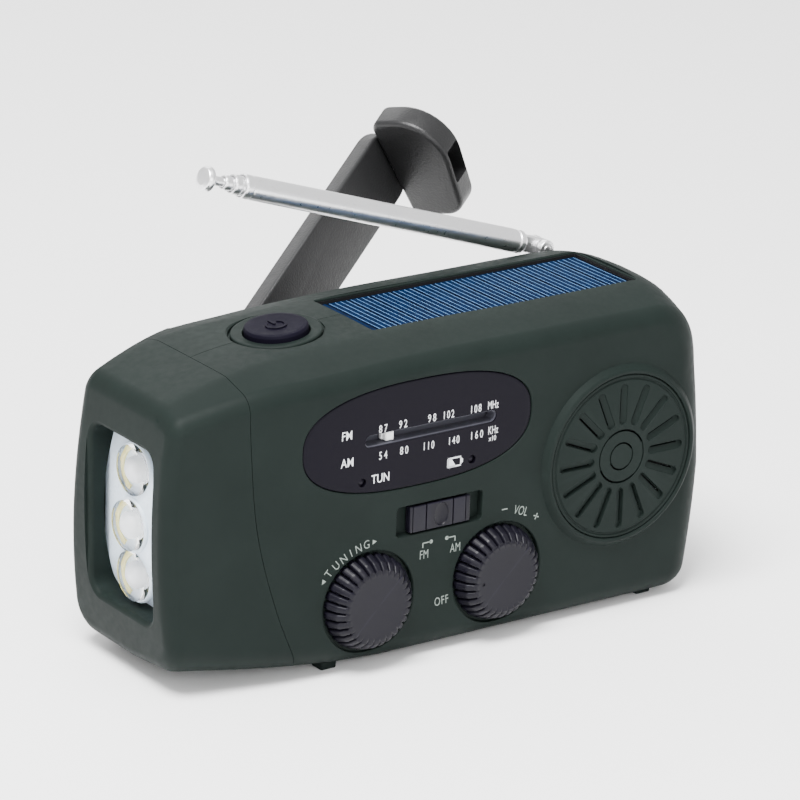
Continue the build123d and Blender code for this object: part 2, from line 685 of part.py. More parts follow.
# ---- gear train and generator ----
def gear_outline(teeth, phase):
    """Stub involute gear outline with backlash, as (x, z) points."""
    pitch = GEAR_MODULE * teeth / 2
    base = pitch * math.cos(math.radians(PRESSURE_ANGLE))
    tip = pitch + 0.8 * GEAR_MODULE
    root = pitch - 1.1 * GEAR_MODULE
    pressure = math.radians(PRESSURE_ANGLE)
    half_tooth = math.pi / (2 * teeth) - 0.07 / pitch + math.tan(pressure) - pressure
    radii = [max(root, base) + (tip - max(root, base)) * k / 3 for k in range(4)]
    points = []
    for i in range(teeth):
        centre = math.radians(phase) + 2 * math.pi * i / teeth
        flank = []
        for r in radii:
            roll = math.acos(min(1.0, base / r))
            flank.append((r, half_tooth - (math.tan(roll) - roll)))
        if root < base:
            flank.insert(0, (root, flank[0][1]))
        sides = [(r, -a) for r, a in flank] + [(r, a) for r, a in reversed(flank)]
        points += [(r * math.cos(centre + a), r * math.sin(centre + a)) for r, a in sides]
    return polygon_xz(points)


def gear(teeth, phase, y, centre):
    return Pos(centre[0], 0, centre[1]) * (Part() + prism_y(gear_outline(teeth, phase), y))


def stepped(start, teeth, direction):
    """Centre of the pinion that meshes with a wheel at start, in a direction in degrees."""
    distance = GEAR_MODULE * (teeth + PINION_TEETH) / 2
    a = math.radians(direction)
    return start[0] + distance * math.cos(a), start[1] + distance * math.sin(a)


CRANK = (CRANK_X, CRANK_Z)
COMPOUND = stepped(CRANK, DRIVE_TEETH, COMPOUND_DIRECTION)
GENERATOR = stepped(COMPOUND, LARGE_TEETH, GENERATOR_DIRECTION)
PINION_GAP = 180 / PINION_TEETH


def drive_gear():
    wheel = gear(DRIVE_TEETH, COMPOUND_DIRECTION, (15.6, 18.0), CRANK)
    hub = rod_y(3.4, (14.2, 15.6), *CRANK)
    return wheel + hub - rod_y(2.5, (10, 20), *CRANK)


def compound_gear():
    pinion = gear(PINION_TEETH, COMPOUND_DIRECTION + 180 + PINION_GAP, (14.9, 18.2), COMPOUND)
    wheel = gear(LARGE_TEETH, GENERATOR_DIRECTION, (12.9, 14.9), COMPOUND)
    return pinion + wheel - rod_y(1.05, (10, 20), *COMPOUND)


def compound_axle():
    return rod_y(1.0, (11.2, 20.4), *COMPOUND)


def generator_pinion():
    wheel = gear(PINION_TEETH, GENERATOR_DIRECTION + 180 + PINION_GAP, (12.8, 15.0), GENERATOR)
    return wheel + rod_y(0.75, (7.0, 12.8), *GENERATOR)


def generator():
    body = rod_y(10.6, (1.5, 10.9), *GENERATOR)
    return body - rod_y(0.8, (6.8, 12), *GENERATOR)


def gearbox_plate():
    """Plate that carries the generator, the compound axle and the crank shaft's end."""
    plate = box((-33, 12), (11.0, 12.0), (21.5, 45.5))
    plate -= rod_y(2.55, (10, 13), *CRANK)
    plate -= rod_y(1.0, (10, 13), *COMPOUND)
    plate -= rod_y(2.0, (10, 13), *GENERATOR)
    for x, z in ((-30.5, 24.0), (9.0, 24.0), (9.0, 43.5)):
        plate += rod_y(1.8, (12.0, 21), x, z) & CAVITY
    return plate


def crank_bush():
    """Flanged bearing bush in the rear case."""
    bush = rod_y(BUSH_R, (18.2, 22.7), *CRANK) + rod_y(6.2, (22.7, 23.3), *CRANK)
    return bush - rod_y(SHAFT_R + 0.05, (17, 25), *CRANK)


# ---- crank ----
def arm_frame():
    """Frame at the hinge pin: X along the arm, Y across it, Z towards the case."""
    turn, lift = math.radians(CRANK_ANGLE), math.radians(CRANK_OPEN)
    outward = Vector(math.cos(lift) * math.cos(turn), math.sin(lift), math.cos(lift) * math.sin(turn))
    across = Vector(-math.sin(turn), 0, math.cos(turn))
    towards = outward.cross(across)
    return Plane(origin=(CRANK_X, CRANK_PIVOT_Y, CRANK_Z), x_dir=outward, z_dir=towards).location


ARM = arm_frame()
HUB = Plane(
    origin=(CRANK_X, CRANK_PIVOT_Y, CRANK_Z),
    x_dir=(math.cos(math.radians(CRANK_ANGLE)), 0, math.sin(math.radians(CRANK_ANGLE))),
    z_dir=(0, -1, 0),
).location


def crank_hub():
    """Round flange on the crank shaft, with two ears for the hinge pin."""
    shaft = rod_y(SHAFT_R, (18.0, 23.5), *CRANK) + rod_y(2.5, (11.2, 18.0), *CRANK)
    flange = rod_y(8.6, (23.5, 24.8), *CRANK)
    ears = Part()
    for side in (-1, 1):
        block = Box(6.4, 2.1, 4.0) + Pos(0, 0, -2) * Rot(90, 0, 0) * Cylinder(3.2, 2.1)
        ears += Pos(0, side * 6.75, 2.0) * block
    return shaft + flange + HUB * (ears - Rot(90, 0, 0) * Cylinder(1.25, 20))


def crank_hinge_pin():
    return HUB * Rot(90, 0, 0) * Cylinder(1.25, 16.4)


def crank_arm():
    """Flat arm with a narrow root between the ears and a round tip."""
    half = ARM_WIDTH / 2
    thick = ARM_THICK
    root = Rot(90, 0, 0) * Cylinder(2.4, 11.0) + Pos(4.5, 0, 0) * Box(9, 11.0, thick)
    blade = Pos((7 + ARM_REACH - 4) / 2, 0, 0) * Box(ARM_REACH - 11, ARM_WIDTH, thick)
    tip = Pos(ARM_REACH - 4, 0, 0) * Cylinder(half, thick)
    arm = root + blade + tip
    arm -= Rot(90, 0, 0) * Cylinder(1.30, 20)
    return ARM * (arm - Pos(ARM_REACH, 0, 0) * Cylinder(1.5, 10))


def grip_pin():
    """Rivet through the arm's tip; the grip turns on it."""
    head = Pos(0, 0, -ARM_THICK / 2 - 0.4) * Cylinder(2.6, 0.8)
    shank = rod_z(1.5, (-ARM_THICK / 2, RIVET_END - 0.8), 0, 0)
    cap = rod_z(2.2, (RIVET_END - 0.8, RIVET_END), 0, 0)
    return ARM * Pos(ARM_REACH, 0, 0) * (head + shank + cap)


def crank_grip():
    """Lopsided D-shaped grip that turns on the rivet, with a pocket over the rivet's end."""
    low, high = GRIP_ACROSS
    base = ARM_THICK / 2 + 0.3
    corners = [(low, base), (high, base), (high, GRIP_TOPS[1]), (low, GRIP_TOPS[0])]
    outline = make_face(Polyline(*corners, close=True))
    for corner, radius in zip(corners, GRIP_ROUNDS):
        outline = fillet(outline.vertices().sort_by_distance((*corner, 0))[0], radius)
    grip = extrude(Plane.YZ * outline, GRIP_THICK / 2, both=True)
    grip -= Cylinder(1.55, 60)
    grip -= Pos(0, POCKET_MIDDLE, RIVET_END + 9.1) * Box(4.6, 7.9, 20)
    return ARM * Pos(ARM_REACH, 0, 0) * grip


# ---- telescopic antenna ----
def antenna_frame():
    """Frame at the tilt pin, with X along the tubes."""
    c, s = math.cos(math.radians(ANTENNA_ANGLE)), math.sin(math.radians(ANTENNA_ANGLE))
    return Plane(origin=ANTENNA, x_dir=(-c, 0, s), z_dir=(s, 0, c)).location


MAST = antenna_frame()


def along(radius, x):
    return Pos((x[0] + x[1]) / 2, 0, 0) * Rot(0, 90, 0) * Cylinder(radius, x[1] - x[0])


def antenna_base():
    """Swivel post with two ears, on a stud through the case."""
    x, y, z = ANTENNA
    post = rod_z(3.4, (54.2, 56.6), x, y) + rod_z(1.5, (51.8, 54.2), x, y)
    ears = Part()
    for side in (-1, 1):
        ears += Pos(x, y + side * 1.75, 58.4) * Box(4.2, 1.5, 3.6)
        ears += rod_y(2.1, (y + side * 1.75 - 0.75, y + side * 1.75 + 0.75), x, z)
    ears -= rod_y(PIN_R, (y - 4, y + 4), x, z)
    return post + ears


def antenna_pin():
    x, y, z = ANTENNA
    return rod_y(PIN_R, (y - 2.7, y + 2.7), x, z)


def antenna_section(index):
    """One telescope tube; the first has the collar and the hinge tongue."""
    start, end = TUBE_ENDS[index]
    tube = along(TUBE_RADII[index], (start, end))
    tube -= along(TUBE_RADII[index + 1] + 0.1, (start + 1.2, end + 1))
    if index == 0:
        tongue = Box(5.6, 1.8, 3.4) + Pos(-2.8, 0, 0) * Rot(90, 0, 0) * Cylinder(1.7, 1.8)
        tube += along(2.7, (5.4, 8.0)) + Pos(2.8, 0, 0) * tongue
        tube -= Rot(90, 0, 0) * Cylinder(PIN_R + 0.05, 6)
    return MAST * tube


def antenna_tip_rod():
    """Innermost section: a solid rod with a flared neck and a domed end."""
    start, end = TUBE_ENDS[3]
    radius = TUBE_RADII[3]
    rim, dome = end + TIP_NECK, end + TIP_NECK + 1.1
    sphere = (TIP_R ** 2 + TIP_DOME ** 2) / (2 * TIP_DOME)
    half_angle = math.asin(TIP_R / sphere) / 2
    middle = (dome + TIP_DOME - sphere * (1 - math.cos(half_angle)), sphere * math.sin(half_angle))
    with BuildPart() as part:
        with BuildSketch(Plane.XY):
            with BuildLine():
                Polyline((start, 0), (start, radius), (end, radius), (rim, TIP_R), (dome, TIP_R))
                ThreePointArc((dome, TIP_R), middle, (dome + TIP_DOME, 0))
                Line((dome + TIP_DOME, 0), (start, 0))
            make_face()
        revolve(axis=Axis.X)
    return MAST * part.part


NODES = {
    "front_housing": front_housing,
    "rear_housing": rear_housing,
    "lamp_head": lamp_head,
    "lamp_lens": lamp_lens,
    "lamp_reflector": lamp_reflector,
    "lamp_leds": lamp_leds,
    "lamp_board": lamp_board,
    "button_bezel": button_bezel,
    "lamp_button": lamp_button,
    "lamp_switch": lamp_switch,
    "switch_board": switch_board,
    "solar_panel": solar_panel,
    "dial_window": dial_window,
    "dial_scale": dial_scale,
    "dial_pointer": dial_pointer,
    "pointer_rail": pointer_rail,
    "indicator_lamps": indicator_lamps,
    "tuning_knob": lambda: knob(TUNE_X),
    "tuning_shaft": lambda: control_shaft(TUNE_X, True),
    "tuning_capacitor": tuning_capacitor,
    "volume_knob": lambda: knob(VOLUME_X),
    "volume_shaft": lambda: control_shaft(VOLUME_X, False),
    "volume_control": volume_control,
    "band_slider": band_slider,
    "band_switch": band_switch,
    "speaker_grille": speaker_grille,
    "speaker_frame": speaker_frame,
    "speaker_magnet": speaker_magnet,
    "speaker_cone": speaker_cone,
    "main_board": main_board,
    "board_posts": board_posts,
    "board_screws": board_screws,
    "ferrite_rod": ferrite_rod,
    "antenna_coil": antenna_coil,
    "rod_clips": rod_clips,
    "battery": battery,
    "battery_cradle": battery_cradle,
    "usb_port": lambda: port_shell(USB_X, USB_Z, 10.6),
    "charge_port": lambda: port_shell(CHARGE_X, CHARGE_Z, 14.6),
    "port_cover": port_cover,
    "case_screws": case_screws,
    "feet": feet,
    "crank_bush": crank_bush,
    "crank_hub": crank_hub,
    "crank_hinge_pin": crank_hinge_pin,
    "crank_arm": crank_arm,
    "grip_pin": grip_pin,
    "crank_grip": crank_grip,
    "drive_gear": drive_gear,
    "compound_gear": compound_gear,
    "compound_axle": compound_axle,
    "generator": generator,
    "generator_pinion": generator_pinion,
    "gearbox_plate": gearbox_plate,
    "antenna_base": antenna_base,
    "antenna_pin": antenna_pin,
    "antenna_section_1": lambda: antenna_section(0),
    "antenna_section_2": lambda: antenna_section(1),
    "antenna_section_3": lambda: antenna_section(2),
    "antenna_section_4": antenna_tip_rod,
}


if __name__ == "__main__":
    for name, make in NODES.items():
        save(name, make())
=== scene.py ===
import json
from math import atan2, cos, degrees, dist, hypot, pi, radians, sin, tan

import bmesh
import bpy
import numpy as np
from mathutils import Matrix, Vector


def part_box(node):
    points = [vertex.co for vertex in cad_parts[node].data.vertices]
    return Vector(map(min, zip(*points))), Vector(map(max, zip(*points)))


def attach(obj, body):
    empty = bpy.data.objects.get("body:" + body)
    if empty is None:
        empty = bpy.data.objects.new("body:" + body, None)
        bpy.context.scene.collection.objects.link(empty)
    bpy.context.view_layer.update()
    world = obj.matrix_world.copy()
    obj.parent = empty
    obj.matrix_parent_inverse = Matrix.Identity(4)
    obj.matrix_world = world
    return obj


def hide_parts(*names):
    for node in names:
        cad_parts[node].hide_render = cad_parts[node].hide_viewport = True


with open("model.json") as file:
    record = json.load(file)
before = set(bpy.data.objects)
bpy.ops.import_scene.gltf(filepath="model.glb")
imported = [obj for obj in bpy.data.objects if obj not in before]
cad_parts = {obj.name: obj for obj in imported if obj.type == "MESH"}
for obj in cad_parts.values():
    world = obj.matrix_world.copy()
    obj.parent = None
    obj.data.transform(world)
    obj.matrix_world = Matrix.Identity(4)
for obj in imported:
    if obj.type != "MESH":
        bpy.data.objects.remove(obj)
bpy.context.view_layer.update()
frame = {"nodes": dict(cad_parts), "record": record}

# Looks of the hand-crank emergency radio. Lengths below are millimetres in the CAD frame,
# and become metres where a mesh is made.
MM = 0.001
RECORD = frame["record"]
BODY = {node: body for body, nodes in RECORD["behaviour"]["bodies"].items() for node in nodes}
SKIN_STEP = 0.8


def node_box(node):
    """Lowest and highest corner of a CAD node, in millimetres."""
    low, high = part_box(node)
    return np.array(low) / MM, np.array(high) / MM


def node_centre(node):
    low, high = node_box(node)
    return (low + high) / 2


# ---------------------------------------------------------------- shape of the case
HALF_DEPTH = 22.5
TOP_BAND = 10.5
BAND_WIDENS = ((-40, -10), (TOP_BAND + 1.5, TOP_BAND))
BEVEL_SLOPE = 0.28
BEVEL_SOFTNESS = ((-30, 20), (1.0, 5.0))
WALL = 2.0
RIDGE_R, END_R, CREST_R, LAMP_R = 2.6, 6.5, 12.0, 2.6
UNDER_R = ((-60, -25), (6.0, 4.2))
END_BEVEL = 0.8
CREST = ((-70, -44, -26, 8), (51.4, 59.5, 61.3, 62.5), (0.34, 0.20, 0.08, 0.0))
PLAN = ((-64, -45, -32, -16), (16.9, 20.6, 22.2, HALF_DEPTH), (0.22, 0.17, 0.06, 0.0))
UNDERSIDE = ((-61, -51, -38, -12), (2.6, 1.7, 0.8, 0.0), (-0.10, -0.09, -0.05, 0.0))
KEEL, KEEL_FADE = 0.12, ((-60, -15), (1.0, 0.0))
END_CORNER = (45, 46.5)
LEAN_R = 3.0
END_BOW = ((62.0, 48.0), (62.4, 32.0), (60.6, 8.0))
FACE_BOW = ((-54.0, 80.0), (-61.3, 30.0), (-58.9, 3.6))
SEAM = ((-5, 15, 30, 46, 80), (-31.0, -39.1, -43.0, -44.6, -44.9))
LEAN_POINTS = ((-60.0, 16.9, 30.0), (-60.0, 14.0, 55.8), (-40.0, 20.6, 58.5))


def hermite(table, x):
    """Smooth curve through (xs, ys, slopes), level or straight beyond the ends."""
    xs, ys, slopes = (np.asarray(row, float) for row in table)
    i = np.clip(np.searchsorted(xs, x) - 1, 0, len(xs) - 2)
    span = xs[i + 1] - xs[i]
    t = (x - xs[i]) / span
    inside = (
        (2 * t**3 - 3 * t**2 + 1) * ys[i]
        + (t**3 - 2 * t**2 + t) * span * slopes[i]
        + (3 * t**2 - 2 * t**3) * ys[i + 1]
        + (t**3 - t**2) * span * slopes[i + 1]
    )
    below = ys[0] + slopes[0] * (x - xs[0])
    above = ys[-1] + slopes[-1] * (x - xs[-1])
    return np.where(x < xs[0], below, np.where(x > xs[-1], above, inside))


def circle_through(a, b, c):
    """Centre and radius of the circle through three points."""
    (ax, ay), (bx, by), (cx, cy) = a, b, c
    d = 2 * (ax * (by - cy) + bx * (cy - ay) + cx * (ay - by))
    sa, sb, sc = ax * ax + ay * ay, bx * bx + by * by, cx * cx + cy * cy
    ux = (sa * (by - cy) + sb * (cy - ay) + sc * (ay - by)) / d
    uy = (sa * (cx - bx) + sb * (ax - cx) + sc * (bx - ax)) / d
    return ux, uy, hypot(ax - ux, ay - uy)


def bow_x(bow, z, side):
    """x of a bowed end face at height z; side is +1 for the right end and -1 for the left."""
    cx, cz, radius = circle_through(*bow)
    return cx + side * np.sqrt(np.maximum(radius**2 - (z - cz) ** 2, 0))


def round_max(a, b, radius):
    """Joins two faces with a rounded edge."""
    past = np.hypot(np.maximum(a + radius, 0), np.maximum(b + radius, 0))
    return np.minimum(np.maximum(a, b), -radius) + past


def lean_plane():
    """Plane that pares the rear top corner of the lamp head, as a function of x, y and z."""
    a, b, c = (np.array(p) for p in LEAN_POINTS)
    normal = np.cross(b - a, c - a)
    normal /= np.linalg.norm(normal)
    return normal, normal @ a


LEAN_NORMAL, LEAN_AT = lean_plane()


def case_field(x, y, z):
    """Distance outside the case skin, negative inside."""
    soft = np.interp(x, *BEVEL_SOFTNESS)
    past = np.abs(y) - np.interp(x, *BAND_WIDENS)
    fall = BEVEL_SLOPE * 0.5 * (past + np.sqrt(past**2 + soft**2))
    crown = (z + fall - hermite(CREST, x)) / np.sqrt(1 + (BEVEL_SLOPE * (past > 0)) ** 2)
    high = np.clip((z - 25) / 25, 0, 1)
    end = x + END_BEVEL * fall * high - bow_x(END_BOW, np.minimum(z, END_BOW[0][1]), 1)
    top = round_max(crown, end, CREST_R)
    beyond, above = np.maximum(x - END_CORNER[0], 0), np.maximum(z + fall - END_CORNER[1], 1e-6)
    turn = np.arctan2(beyond, above) / (pi / 2)
    turn = turn * turn * (3 - 2 * turn)
    side = np.abs(y) - hermite(PLAN, x)
    hull = round_max(top, side, RIDGE_R + (END_R - RIDGE_R) * turn)
    hull = round_max(hull, LEAN_NORMAL @ (x, y, z) - LEAN_AT, LEAN_R)
    rise = KEEL * np.maximum(-y - 2, 0) * np.interp(x, *KEEL_FADE)
    hull = round_max(hull, hermite(UNDERSIDE, x) + rise - z, np.interp(x, *UNDER_R))
    return round_max(hull, bow_x(FACE_BOW, z, -1) - x, LAMP_R)


def case_normal(points):
    """Outward direction of the skin at some points."""
    step = 0.02
    out = np.empty_like(points)
    for axis in range(3):
        shift = np.zeros(3)
        shift[axis] = step
        out[:, axis] = case_field(*(points + shift).T) - case_field(*(points - shift).T)
    return out / np.maximum(np.linalg.norm(out, axis=1, keepdims=True), 1e-9)


HALVINGS = 34


def march(origin, direction, level, near, far):
    """Points along rays where the case field reaches a level."""
    low = np.full(len(origin), float(near))
    high = np.full(len(origin), float(far))
    for _ in range(HALVINGS):
        middle = (low + high) / 2
        inside = case_field(*(origin + direction * middle[:, None]).T) < level
        low = np.where(inside, middle, low)
        high = np.where(inside, high, middle)
    return (low + high) / 2


# ---------------------------------------------------------------- faces and places
class Place:
    """A local frame: u and v across, h out of the surface."""

    def __init__(self, origin, u, v, h):
        self.origin = np.array(origin, float)
        self.axes = np.array([u, v, h], float)

    def put(self, points):
        return self.origin + np.atleast_2d(points) @ self.axes

    def at(self, u=0.0, v=0.0, h=0.0):
        moved = Place(self.origin, *self.axes)
        moved.origin = self.put([(u, v, h)])[0]
        return moved

    def turned(self, degrees):
        """Turned about its own h axis."""
        c, s = cos(radians(degrees)), sin(radians(degrees))
        u, v, h = self.axes
        return Place(self.origin, c * u + s * v, c * v - s * u, h)


FRONT = Place((0, 0, 0), (1, 0, 0), (0, 0, 1), (0, -1, 0))
REAR = Place((0, 0, 0), (-1, 0, 0), (0, 0, 1), (0, 1, 0))
TOP = Place((0, 0, 0), (1, 0, 0), (0, 1, 0), (0, 0, 1))
LEFT = Place((0, 0, 0), (0, -1, 0), (0, 0, 1), (-1, 0, 0))
INSIDE_H = {id(FRONT): 0.0, id(REAR): 0.0, id(TOP): 30.0, id(LEFT): 40.0}


def skin_height(place, uv, level=0.0):
    """How far out the case skin is, above (u, v) points of one of the four faces."""
    start = INSIDE_H[id(place)]
    flat = np.column_stack([uv, np.full(len(uv), start)])
    direction = np.repeat(place.axes[2][None, :], len(uv), axis=0)
    return start + march(place.put(flat), direction, level, 0, 40)


# ---------------------------------------------------------------- outlines
def circle(radius, count=96):
    angles = np.linspace(0, 2 * pi, count, endpoint=False)
    return lambda grow=0.0: (radius + grow) * np.column_stack([np.cos(angles), np.sin(angles)])


def rounded_rect(width, height, radii, steps=8):
    """Rectangle with rounded corners; radii is one number, or four anticlockwise from the upper right."""
    corners = radii if isinstance(radii, (tuple, list)) else (radii,) * 4

    def outline(grow=0.0):
        points = []
        for k, (sx, sy) in enumerate(((1, 1), (-1, 1), (-1, -1), (1, -1))):
            r = max(corners[k] + grow, 0.01)
            for i in range(steps + 1):
                a = radians(90 * k + 90 * i / steps)
                arm = (r * cos(a), r * sin(a))
                points.append((sx * (width / 2 + grow - r) + arm[0], sy * (height / 2 + grow - r) + arm[1]))
        return np.array(points)

    return outline


def stadium(length, width):
    return rounded_rect(length, width, width / 2 - 0.001, 10)


def superellipse(half_u, half_v, power=2.5, count=144):
    angles = np.linspace(0, 2 * pi, count, endpoint=False)
    c, s = np.cos(angles), np.sin(angles)
    shape = np.column_stack([np.sign(c) * np.abs(c) ** (2 / power), np.sign(s) * np.abs(s) ** (2 / power)])
    return lambda grow=0.0: shape * (half_u + grow, half_v + grow)


def polygon(points):
    """Fixed outline that doesn't grow."""
    fixed = np.array(points, float)
    return lambda grow=0.0: fixed


def rounded_path(corners, steps=5):
    """Polyline of (radius, height, rounding) corners with each corner made into an arc."""
    path = []
    for i, (u, v, *rounding) in enumerate(corners):
        here = Vector((u, v))
        if not rounding or i in (0, len(corners) - 1):
            path.append((u, v))
            continue
        r = rounding[0]
        a = (Vector(corners[i - 1][:2]) - here).normalized()
        b = (Vector(corners[i + 1][:2]) - here).normalized()
        half = a.angle(b) / 2
        centre = here + (a + b).normalized() * (r / sin(half))
        start = here + a * (r / tan(half)) - centre
        end = here + b * (r / tan(half)) - centre
        path += [tuple(centre + start.lerp(end, k / steps).normalized() * r) for k in range(steps + 1)]
    return path


def rounded_polygon(corners, radii, steps=12):
    """Outline from convex corners, anticlockwise, each with its own rounding; it grows along its normals."""
    start = (np.array(corners[-1]) + corners[0]) / 2
    stops = [start] + [(*corner, radius) for corner, radius in zip(corners, radii)] + [start]
    points = np.array(rounded_path(stops, steps)[:-1])
    tangent = np.roll(points, -1, 0) - np.roll(points, 1, 0)
    normal = np.column_stack([tangent[:, 1], -tangent[:, 0]]) / np.linalg.norm(tangent, axis=1)[:, None]
    return lambda grow=0.0: points + grow * normal


def quarter(steps):
    """(1 - sine, 1 - cosine) at even steps over a quarter turn."""
    turns = [pi / 2 * k / steps for k in range(steps + 1)]
    return [(1 - sin(a), 1 - cos(a)) for a in turns]


# ---------------------------------------------------------------- meshes
def shade(mesh, angle=30.0):
    mesh.shade_smooth()
    mesh.set_sharp_from_angle(angle=radians(angle))


def new_object(name, data):
    obj = bpy.data.objects.new(name, data)
    bpy.context.collection.objects.link(obj)
    return obj


def to_object(name, points, faces, angle=30.0):
    mesh = bpy.data.meshes.new(name)
    mesh.from_pydata((np.asarray(points) * MM).tolist(), [], [tuple(f) for f in faces])
    bm = bmesh.new()
    bm.from_mesh(mesh)
    bmesh.ops.remove_doubles(bm, verts=bm.verts, dist=1e-7)
    bmesh.ops.recalc_face_normals(bm, faces=bm.faces)
    bm.to_mesh(mesh)
    bm.free()
    shade(mesh, angle)
    return new_object(name, mesh)


def walls(rings):
    """Quads that join each ring to the next."""
    count = len(rings[0])
    quads = []
    for a in range(0, (len(rings) - 1) * count, count):
        b = a + count
        quads += [(a + k, a + (k + 1) % count, b + (k + 1) % count, b + k) for k in range(count)]
    return quads


def loft(name, rings, angle=30.0):
    """Closed skin over a stack of rings with the same number of points."""
    count = len(rings[0])
    ends = [range(count), range((len(rings) - 1) * count, len(rings) * count)]
    return to_object(name, np.vstack(rings), walls(rings) + ends, angle)


def tube_of(name, rings, angle=30.0):
    """Ring-shaped body: the stack of rings closes on itself."""
    return to_object(name, np.vstack(rings), walls(rings), angle)


def flat_ring(place, uv, h):
    return place.put(np.column_stack([uv, np.full(len(uv), h)]))


def slab(name, place, outline, low, high, edge=0.0, low_edge=None, steps=4, angle=30.0):
    """Plate between two heights, with rounded edges."""
    low_edge = edge if low_edge is None else low_edge
    stops = [(-low_edge * s, low + low_edge * c) for s, c in quarter(steps)]
    stops += [(-edge * c, high - edge * s) for s, c in quarter(steps)]
    return loft(name, [flat_ring(place, outline(grow), h) for grow, h in stops], angle)


def lathe(name, place, corners, count=96, angle=30.0, steps=5, hollow=False):
    """Body turned about the place's h axis, from (radius, height, rounding) corners."""
    unit = circle(1.0, count)()
    rings = [flat_ring(place, unit * r, h) for r, h in rounded_path(corners, steps)]
    return tube_of(name, rings, angle) if hollow else loft(name, rings, angle)


def block(name, low, high):
    """Box between two corners of the case frame."""
    (x0, y0, z0), (x1, y1, z1) = low, high
    place = TOP.at((x0 + x1) / 2, (y0 + y1) / 2, 0)
    return slab(name, place, rounded_rect(x1 - x0, y1 - y0, 0.01, 3), z0, z1, steps=3)


def rod(name, place, radius, low, high, count=64):
    return slab(name, place, circle(radius, count), low, high)


def combine(target, tools, operation="DIFFERENCE", keep=False):
    """Cuts, joins or intersects closed meshes and bakes the result into the target."""
    for tool in tools:
        modifier = target.modifiers.new("step", "BOOLEAN")
        modifier.object = tool
        modifier.operation = operation
        modifier.solver = "MANIFOLD"
    graph = bpy.context.evaluated_depsgraph_get()
    baked = bpy.data.meshes.new_from_object(target.evaluated_get(graph))
    target.modifiers.clear()
    target.data = baked
    shade(baked)
    if not keep:
        for tool in tools:
            bpy.data.objects.remove(tool)
    return target


def copy_of(obj, name):
    return new_object(name, obj.data.copy())


def merged(name, objects):
    """Joins loose pieces into one object."""
    bm = bmesh.new()
    for obj in objects:
        bm.from_mesh(obj.data)
        bpy.data.objects.remove(obj)
    mesh = bpy.data.meshes.new(name)
    bm.to_mesh(mesh)
    bm.free()
    shade(mesh)
    return new_object(name, mesh)


def pocket(place, outline, u, v, floor, lip=0.3, steps=5):
    """Cutter for a recess with a flat floor at height floor and a rounded lip on the case skin."""
    rings = [flat_ring(place, outline(lip) + (u, v), 90.0)]
    for k, (s, c) in enumerate(quarter(steps)):
        proud = 0.02 if k == 0 else 0.0
        rings.append(follow(place, outline(lip * s), u, v, 0.0, proud - lip * c))
    rings.append(flat_ring(place, outline() + (u, v), floor))
    return loft("pocket", rings)


def follow(place, outline, u, v, level, lift=0.0):
    """An outline laid on the case skin, or on the skin at another level."""
    uv = outline + (u, v)
    return place.put(np.column_stack([uv, skin_height(place, uv, level) + lift]))


# ---------------------------------------------------------------- materials
class Look:
    """A material under construction."""

    def __init__(self, name):
        self.material = bpy.data.materials.new(name)
        self.material.use_nodes = True
        self.nodes = self.material.node_tree.nodes
        self.link = self.material.node_tree.links.new
        self.inputs = self.nodes["Principled BSDF"].inputs

    def add(self, kind, **values):
        """A new node, with the values of its inputs."""
        node = self.nodes.new("ShaderNode" + kind)
        for socket, value in values.items():
            node.inputs[socket.replace("_", " ")].default_value = value
        return node

    def set(self, **values):
        """Sets inputs of the shader."""
        for socket, value in values.items():
            self.inputs[socket.replace("_", " ")].default_value = value

    def feed(self, source, socket):
        self.link(source, self.inputs[socket])

    def noise(self, size, detail=3.0, stretch=(1, 1, 1)):
        """Noise whose features are about size millimetres across."""
        mapping = self.add("Mapping", Scale=tuple(s / (size * MM) for s in stretch))
        texture = self.add("TexNoise", Scale=1.0, Detail=detail)
        self.link(self.add("TexCoord").outputs["Object"], mapping.inputs["Vector"])
        self.link(mapping.outputs["Vector"], texture.inputs["Vector"])
        return texture.outputs["Fac"]

    def ramp(self, source, low, high, colours):
        node = self.add("ValToRGB")
        for element, position, colour in zip(node.color_ramp.elements, (low, high), colours):
            element.position = position
            element.color = (*colour, 1)
        self.link(source, node.inputs["Fac"])
        return node.outputs["Color"]

    def rough(self, source, low, high):
        """Roughness that varies with a noise."""
        node = self.add("MapRange", From_Min=0.3, From_Max=0.7, To_Min=low, To_Max=high)
        self.link(source, node.inputs["Value"])
        self.feed(node.outputs["Result"], "Roughness")

    def painted_edge_highlight(self, base, painted_edge_highlight, amount):
        """Mixes a lighter colour in along convex edges: a painted highlight."""
        edge = self.add("MapRange", From_Min=0.53, From_Max=0.62, To_Max=amount)
        self.link(self.add("NewGeometry").outputs["Pointiness"], edge.inputs["Value"])
        mix = self.add("Mix")
        mix.data_type = "RGBA"
        mix.inputs["B"].default_value = (*painted_edge_highlight, 1)
        self.link(edge.outputs["Result"], mix.inputs["Factor"])
        self.link(base, mix.inputs["A"])
        return mix.outputs["Result"]

    def bump(self, height, depth):
        node = self.add("Bump", Distance=depth * MM)
        self.link(height, node.inputs["Height"])
        self.feed(node.outputs["Normal"], "Normal")


def tone(colour, factor):
    return tuple(min(1.0, c * factor) for c in colour)


def plastic(name, colour, rough, fine=0.25, depth=0.01, cloud=12.0, variation=0.06, edge_highlight=0.0, specular=0.5):
    look = Look(name)
    pair = (tone(colour, 1 - variation), tone(colour, 1 + variation))
    base = look.ramp(look.noise(cloud), 0.35, 0.65, pair)
    # The lighter tone along convex edges is a painted highlight.
    look.feed(look.painted_edge_highlight(base, tone(colour, 1.9), edge_highlight), "Base Color")
    look.rough(look.noise(1.5), rough - 0.04, rough + 0.05)
    look.set(Specular_IOR_Level=specular)
    look.bump(look.noise(fine, 2.0), depth)
    return look.material


